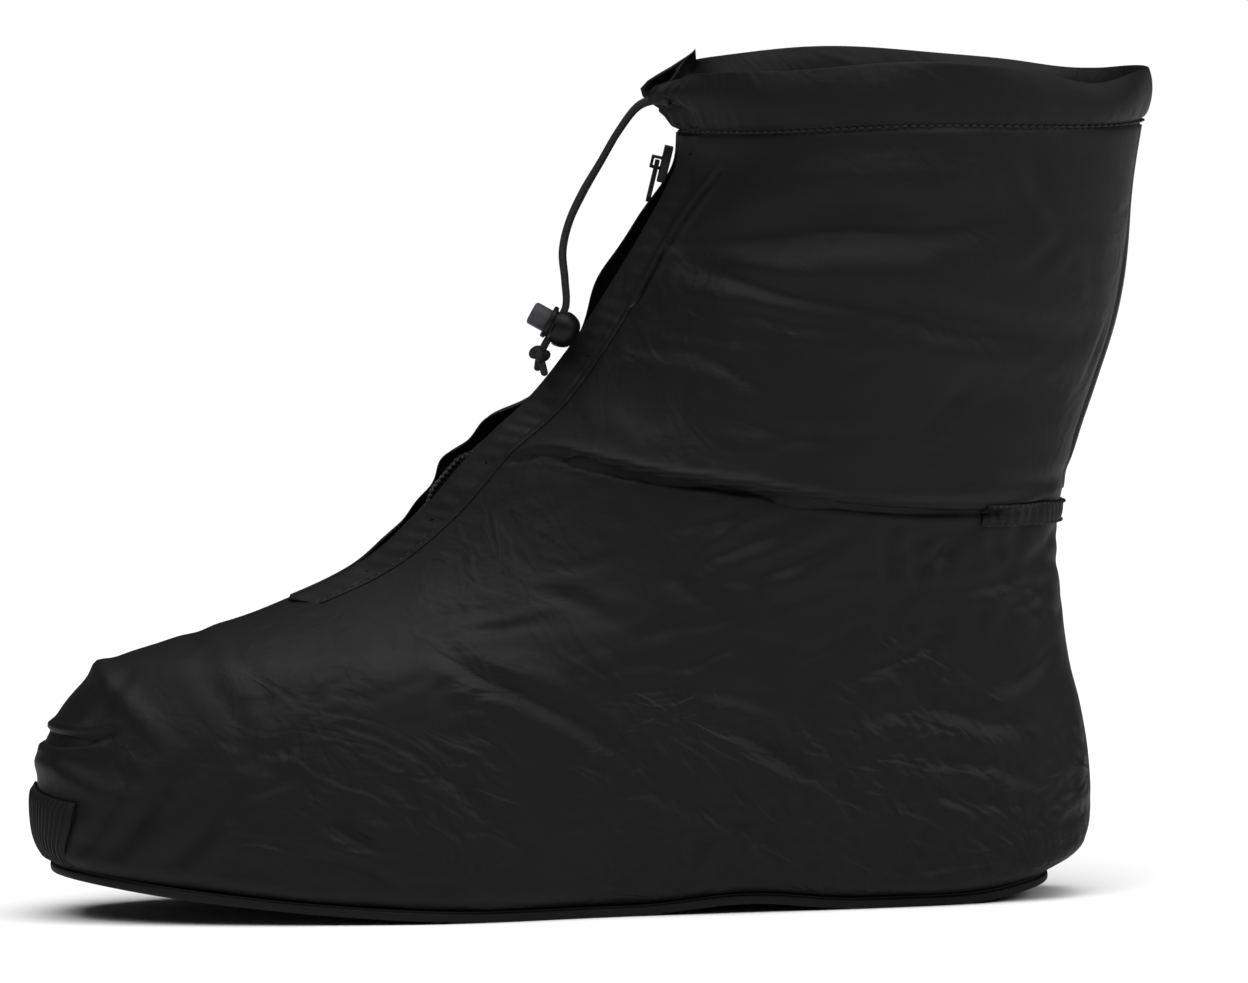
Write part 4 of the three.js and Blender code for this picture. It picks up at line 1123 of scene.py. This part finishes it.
beads_along("hem_stitches", [in_row_frame(hem_seam)], stitch_tree, stitch_pitch,
            (0.95 * MM, thread, thread), "shoe")

# ---------------------------------------------------------------- zip facings: strips sewn beside the slit
# Each facing is a folded strip of the coated sheet, 9.5 mm wide, stitched down along its outer edge. On the
# far side it has curled up in places and stands out ahead of the near edge.
placket_width = 9.5
placket_thickness = 1.0
facing_seam = 0.86
seam_end_level = 168.0
facing_top_row = hem_row - 2 * clearance / casing_height
facing_rows = np.interp(np.linspace(0, 1, 261), np.linspace(0, 1, len(sheet_rows) - rows_below),
                        np.minimum(sheet_rows[rows_below:], facing_top_row))
facing_across = np.linspace(0, 1, 19)
curls = [(182.0, 15.0, 3.8), (166.0, 9.0, 3.4), (129.5, 5.0, 4.6), (119.0, 5.0, 4.8), (109.0, 5.0, 2.4),
         (99.0, 5.0, 1.2)]
for side, side_name in ((-1, "left"), (1, "right")):
    row_grid = facing_rows[:, None]
    angle_grid = side * front_angle(slot_width / 2 + facing_across[None, :] * placket_width, row_grid)
    heights = ring_point(0.3, facing_rows)[:, 2]
    blended = ease(176.0, 164.0, heights)[:, None]
    edge = np.minimum(ease(0, 0.1, facing_across), 1 - 0.72 * ease(0.1, 0.8, facing_across))[None, :]
    seam_groove = 0.8 * np.exp(-((facing_across - facing_seam) / 0.045) ** 2)[None, :] * blended
    hem_edge = 0.22 * np.exp(-((facing_across - 0.95) / 0.04) ** 2)[None, :] * blended
    run = run_along(ring_point(0.3, facing_rows))
    pucker = 0.10 * np.sin(run * 1.25 + 1.4 * np.sin(run * 0.17)) + 0.2 * np.sin(run * 0.31 + side)
    pucker = pucker[:, None] * (ease(0.1, 0.5, facing_across) * ease(1.0, 0.9, facing_across))[None, :]
    lift = (clearance + placket_thickness) * edge - seam_groove + hem_edge + pucker - 0.12
    lift = lift - 0.34 * (1 - blended) * ease(0.45, 0.85, facing_across)[None, :]
    top_skin = draped(angle_grid, row_grid, lift)
    base_skin = draped(angle_grid, row_grid, clearance - 0.75 * ease(0.5, 0.85, facing_across)[None, :])
    height = ring_point(angle_grid, row_grid)[..., 2]
    curl = 1.1 * ease(122, 132, height) * ease(204, 192, height)
    if side == 1:
        curl = sum(rise * np.exp(-((height - level) / reach) ** 2) for level, reach, rise in curls)
    for skin in (top_skin, base_skin):
        skin[..., 0] -= 0.9 * curl * ease(0.75, 0.0, facing_across)[None, :]
        skin[..., 2] += 0.42 * curl * ease(0.75, 0.0, facing_across)[None, :]
    slab_piece(f"placket_{side_name}_facing", top_skin, base_skin, coated_sheet,
               f"placket_{side_name}")
    line_angle = side * front_angle(slot_width / 2 + facing_seam * placket_width, facing_rows)
    seam_lift = (clearance + placket_thickness) * 0.28 - 0.5 - 0.3 * ease(96.0, 108.0, heights)
    seam = in_row_frame(draped(line_angle, facing_rows, seam_lift)[heights < seam_end_level])
    beads_along(f"placket_{side_name}_stitches", [seam], stitch_tree, stitch_pitch,
                (0.95 * MM, thread, thread), "shoe")

# ---------------------------------------------------------------- zip: tape, coil, slider and pull
# A woven polyester tape behind the slit carries a nylon coil whose turns show as fine ribs. The cast
# slider rides near the top, and its stamped pull swings on a small arch.
tape_thickness = 0.8
tape_width = 24.0
slider_level = collar_height - casing_height - 9.0
slider_length = 10.0
zip_steepness = 0.967
woven_tape, tree = finish_material("woven_polyester_tape")
place = node(tree, "TexCoord").outputs["Object"]
cross = [node(tree, "TexWave", {"wave_type": "BANDS", "bands_direction": way}, Vector=place,
              Scale=420.0, Distortion=0.4).outputs["Fac"] for way in ("Y", "Z")]
basket = node(tree, "Math", {"operation": "MULTIPLY"}, _0=cross[0], _1=cross[1])
bump = node(tree, "Bump", Strength=0.6, Distance=0.00012, Height=basket)
# Painted shading: the raised crossings of the weave are painted paler and the hollows between them darker.
painted_weave_shading = node(tree, "Mix", {"data_type": "RGBA"}, _0=basket, _6=tone("#070708"), _7=tone("#171719"))
tape_shader = node(tree, "BsdfPrincipled", Base_Color=painted_weave_shading.outputs[2], Roughness=0.8,
                   Specular_IOR_Level=0.25, Normal=bump)
node(tree, "OutputMaterial", Surface=tape_shader)

slider_row = row_where(lambda row: ring_point(0.0, row)[2], slider_level)
tape_low_row = row_where(lambda row: ring_point(0.0, row)[0], zip_start - 6.0)
tape_rows = np.linspace(tape_low_row, slider_row, 200)
tape_across = np.linspace(-0.5, 0.5, 17)
row_grid = tape_rows[:, None]
angle_grid = front_angle(tape_across[None, :] * tape_width + 1e-6, row_grid)
tape_out = -upper_wall - clearance
slab_piece("zip_tape_woven", draped(angle_grid, row_grid, tape_out),
           draped(angle_grid, row_grid, tape_out - tape_thickness), woven_tape, "zip_tape")

nylon_coil = moulded_plastic("drawn_nylon_coil", "#141416", "#232325", 0.32)
coil_tree = repeat_tree("coil_row", nylon_coil, 10, 6)
coil_low = row_where(lambda row: ring_point(0.0, row)[0], zip_start + 1.0)
coil_high = row_where(lambda row: ring_point(0.0, row)[2],
                      slider_level - (slider_length / 2 + clearance) * zip_steepness)
coil_rows = np.linspace(coil_low, coil_high, 400)
lines = []
for side in (-1, 1):
    coil_heights = ring_point(0.0, coil_rows)[:, 2]
    coil_rise = -2.3 + 1.5 * ease(110, 114, coil_heights) * ease(125, 121, coil_heights)
    centre_line = ring_point(0.0, coil_rows) + ring_normal(0.0, coil_rows) * coil_rise[:, None]
    centre_line[:, 1] = side * 1.35
    lines.append(in_row_frame(centre_line[4 * (side > 0):]))
coil = beads_along("zip_coil_turns", lines, coil_tree, 1.5 * MM, (0.62 * MM, 1.55 * MM, 0.85 * MM), "shoe")
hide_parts("zip_coil")

slider_zinc = moulded_plastic("lacquered_zinc_slider", "#08080a", "#111113", 0.42)


def softened(node_name, piece_name, material, body, width):
    """A merged copy of a CAD node with its edges rounded over."""
    piece = stand(piece_name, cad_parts[node_name].data.copy())
    shape = bmesh.new()
    shape.from_mesh(piece.data)
    bmesh.ops.remove_doubles(shape, verts=shape.verts, dist=0.005 * MM)
    bmesh.ops.dissolve_limit(shape, angle_limit=math.radians(1), verts=shape.verts, edges=shape.edges)
    shape.to_mesh(piece.data)
    shape.free()
    round_edges(piece, width, 3, 35)
    dress(piece, material, body, node_name)


softened("zip_slider", "zip_slider_cast", slider_zinc, "shoe", 0.28 * MM)
softened("zip_pull", "zip_pull_stamped", slider_zinc, "pull_tab", 0.24 * MM)

# ---------------------------------------------------------------- heel elastic and back seam
# A short elastic is sewn round the back of the ankle in a 6 mm tunnel, which gathers the sheet above and
# below it. A welded tape covers the seam up the back of the shaft.
elastic_height, elastic_reach, elastic_level = 6.0, 21.0, 104.0
patch_thickness = 0.9
seam_tape_width = 8.0
elastic_up = np.linspace(0, 1, 15)
elastic_over = np.linspace(-1, 1, 161)


def back_up(row):
    """Height of the form's back edge at a row."""
    return ring_point(math.pi, row)[2]


elastic_rows = [row_where(back_up, elastic_level + (v - 0.5) * elastic_height) for v in elastic_up]
grid_angles = []
for row in elastic_rows:
    length = float(ring_value("back", row) - ring_value("front", row)) * shoe_length
    reach = math.acos(1 - 2 * elastic_reach / length)
    grid_angles.append(math.pi + elastic_over * reach)
angle_grid = np.array(grid_angles)
row_grid = np.array(elastic_rows)[:, None]
up = elastic_up[:, None]
over = np.linspace(0, 1, len(elastic_over))[None, :]
gathers = 0.22 * np.sin(over * 2 * math.pi * 27 + 0.8 * np.sin(over * 19)) * (1 - 0.5 * np.abs(2 * up - 1))
tunnel = 0.45 + 0.55 * np.sin(np.pi * up) ** 0.6
rim = ease(0, 0.012, over) * ease(1, 0.988, over)
lift = clearance + patch_thickness * tunnel * (0.4 + 0.6 * rim) + gathers * rim
slab_piece("heel_elastic_tunnel", draped(angle_grid, row_grid, lift), draped(angle_grid, row_grid, clearance),
           coated_sheet, "heel_elastic")
elastic_lines = []
for v in (1, 13):
    elastic_lines.append(in_row_frame(draped(angle_grid[v], row_grid[v], lift[v] + 0.05)[3:-3]))
beads_along("heel_elastic_stitches", elastic_lines, stitch_tree, 1.9 * MM,
            (0.75 * MM, thread * 0.9, thread * 0.9), "shoe")

seam_low = row_where(back_up, elastic_level + elastic_height)
seam_rows = np.linspace(seam_low, facing_top_row, 120)
seam_across = np.linspace(-0.5, 0.5, 17)
tail_reach = ring_value("heel", seam_rows) * heel_width / 2
place_across = seam_across[None, :] * seam_tape_width
row_grid = seam_rows[:, None]
angle_grid = math.pi - np.sign(place_across) * np.arcsin(
    (np.abs(place_across) / tail_reach[:, None]) ** (1 / ring_value("tail", row_grid)))
profile = 0.05 + 0.65 * ease(0.5, 0.36, np.abs(seam_across)) + 0.3 * np.exp(-(seam_across / 0.1) ** 2)
seam_heights = ring_point(math.pi, seam_rows)[:, 2]
proud = 0.35 + 0.65 * ease(112, 125, seam_heights) * ease(188, 165, seam_heights)
lift = (clearance + patch_thickness) * profile[None, :] * proud[:, None]
slab_piece("back_seam_weld", draped(angle_grid, row_grid, lift), draped(angle_grid, row_grid, lift * 0 - 0.4),
           coated_sheet, "back_seam")
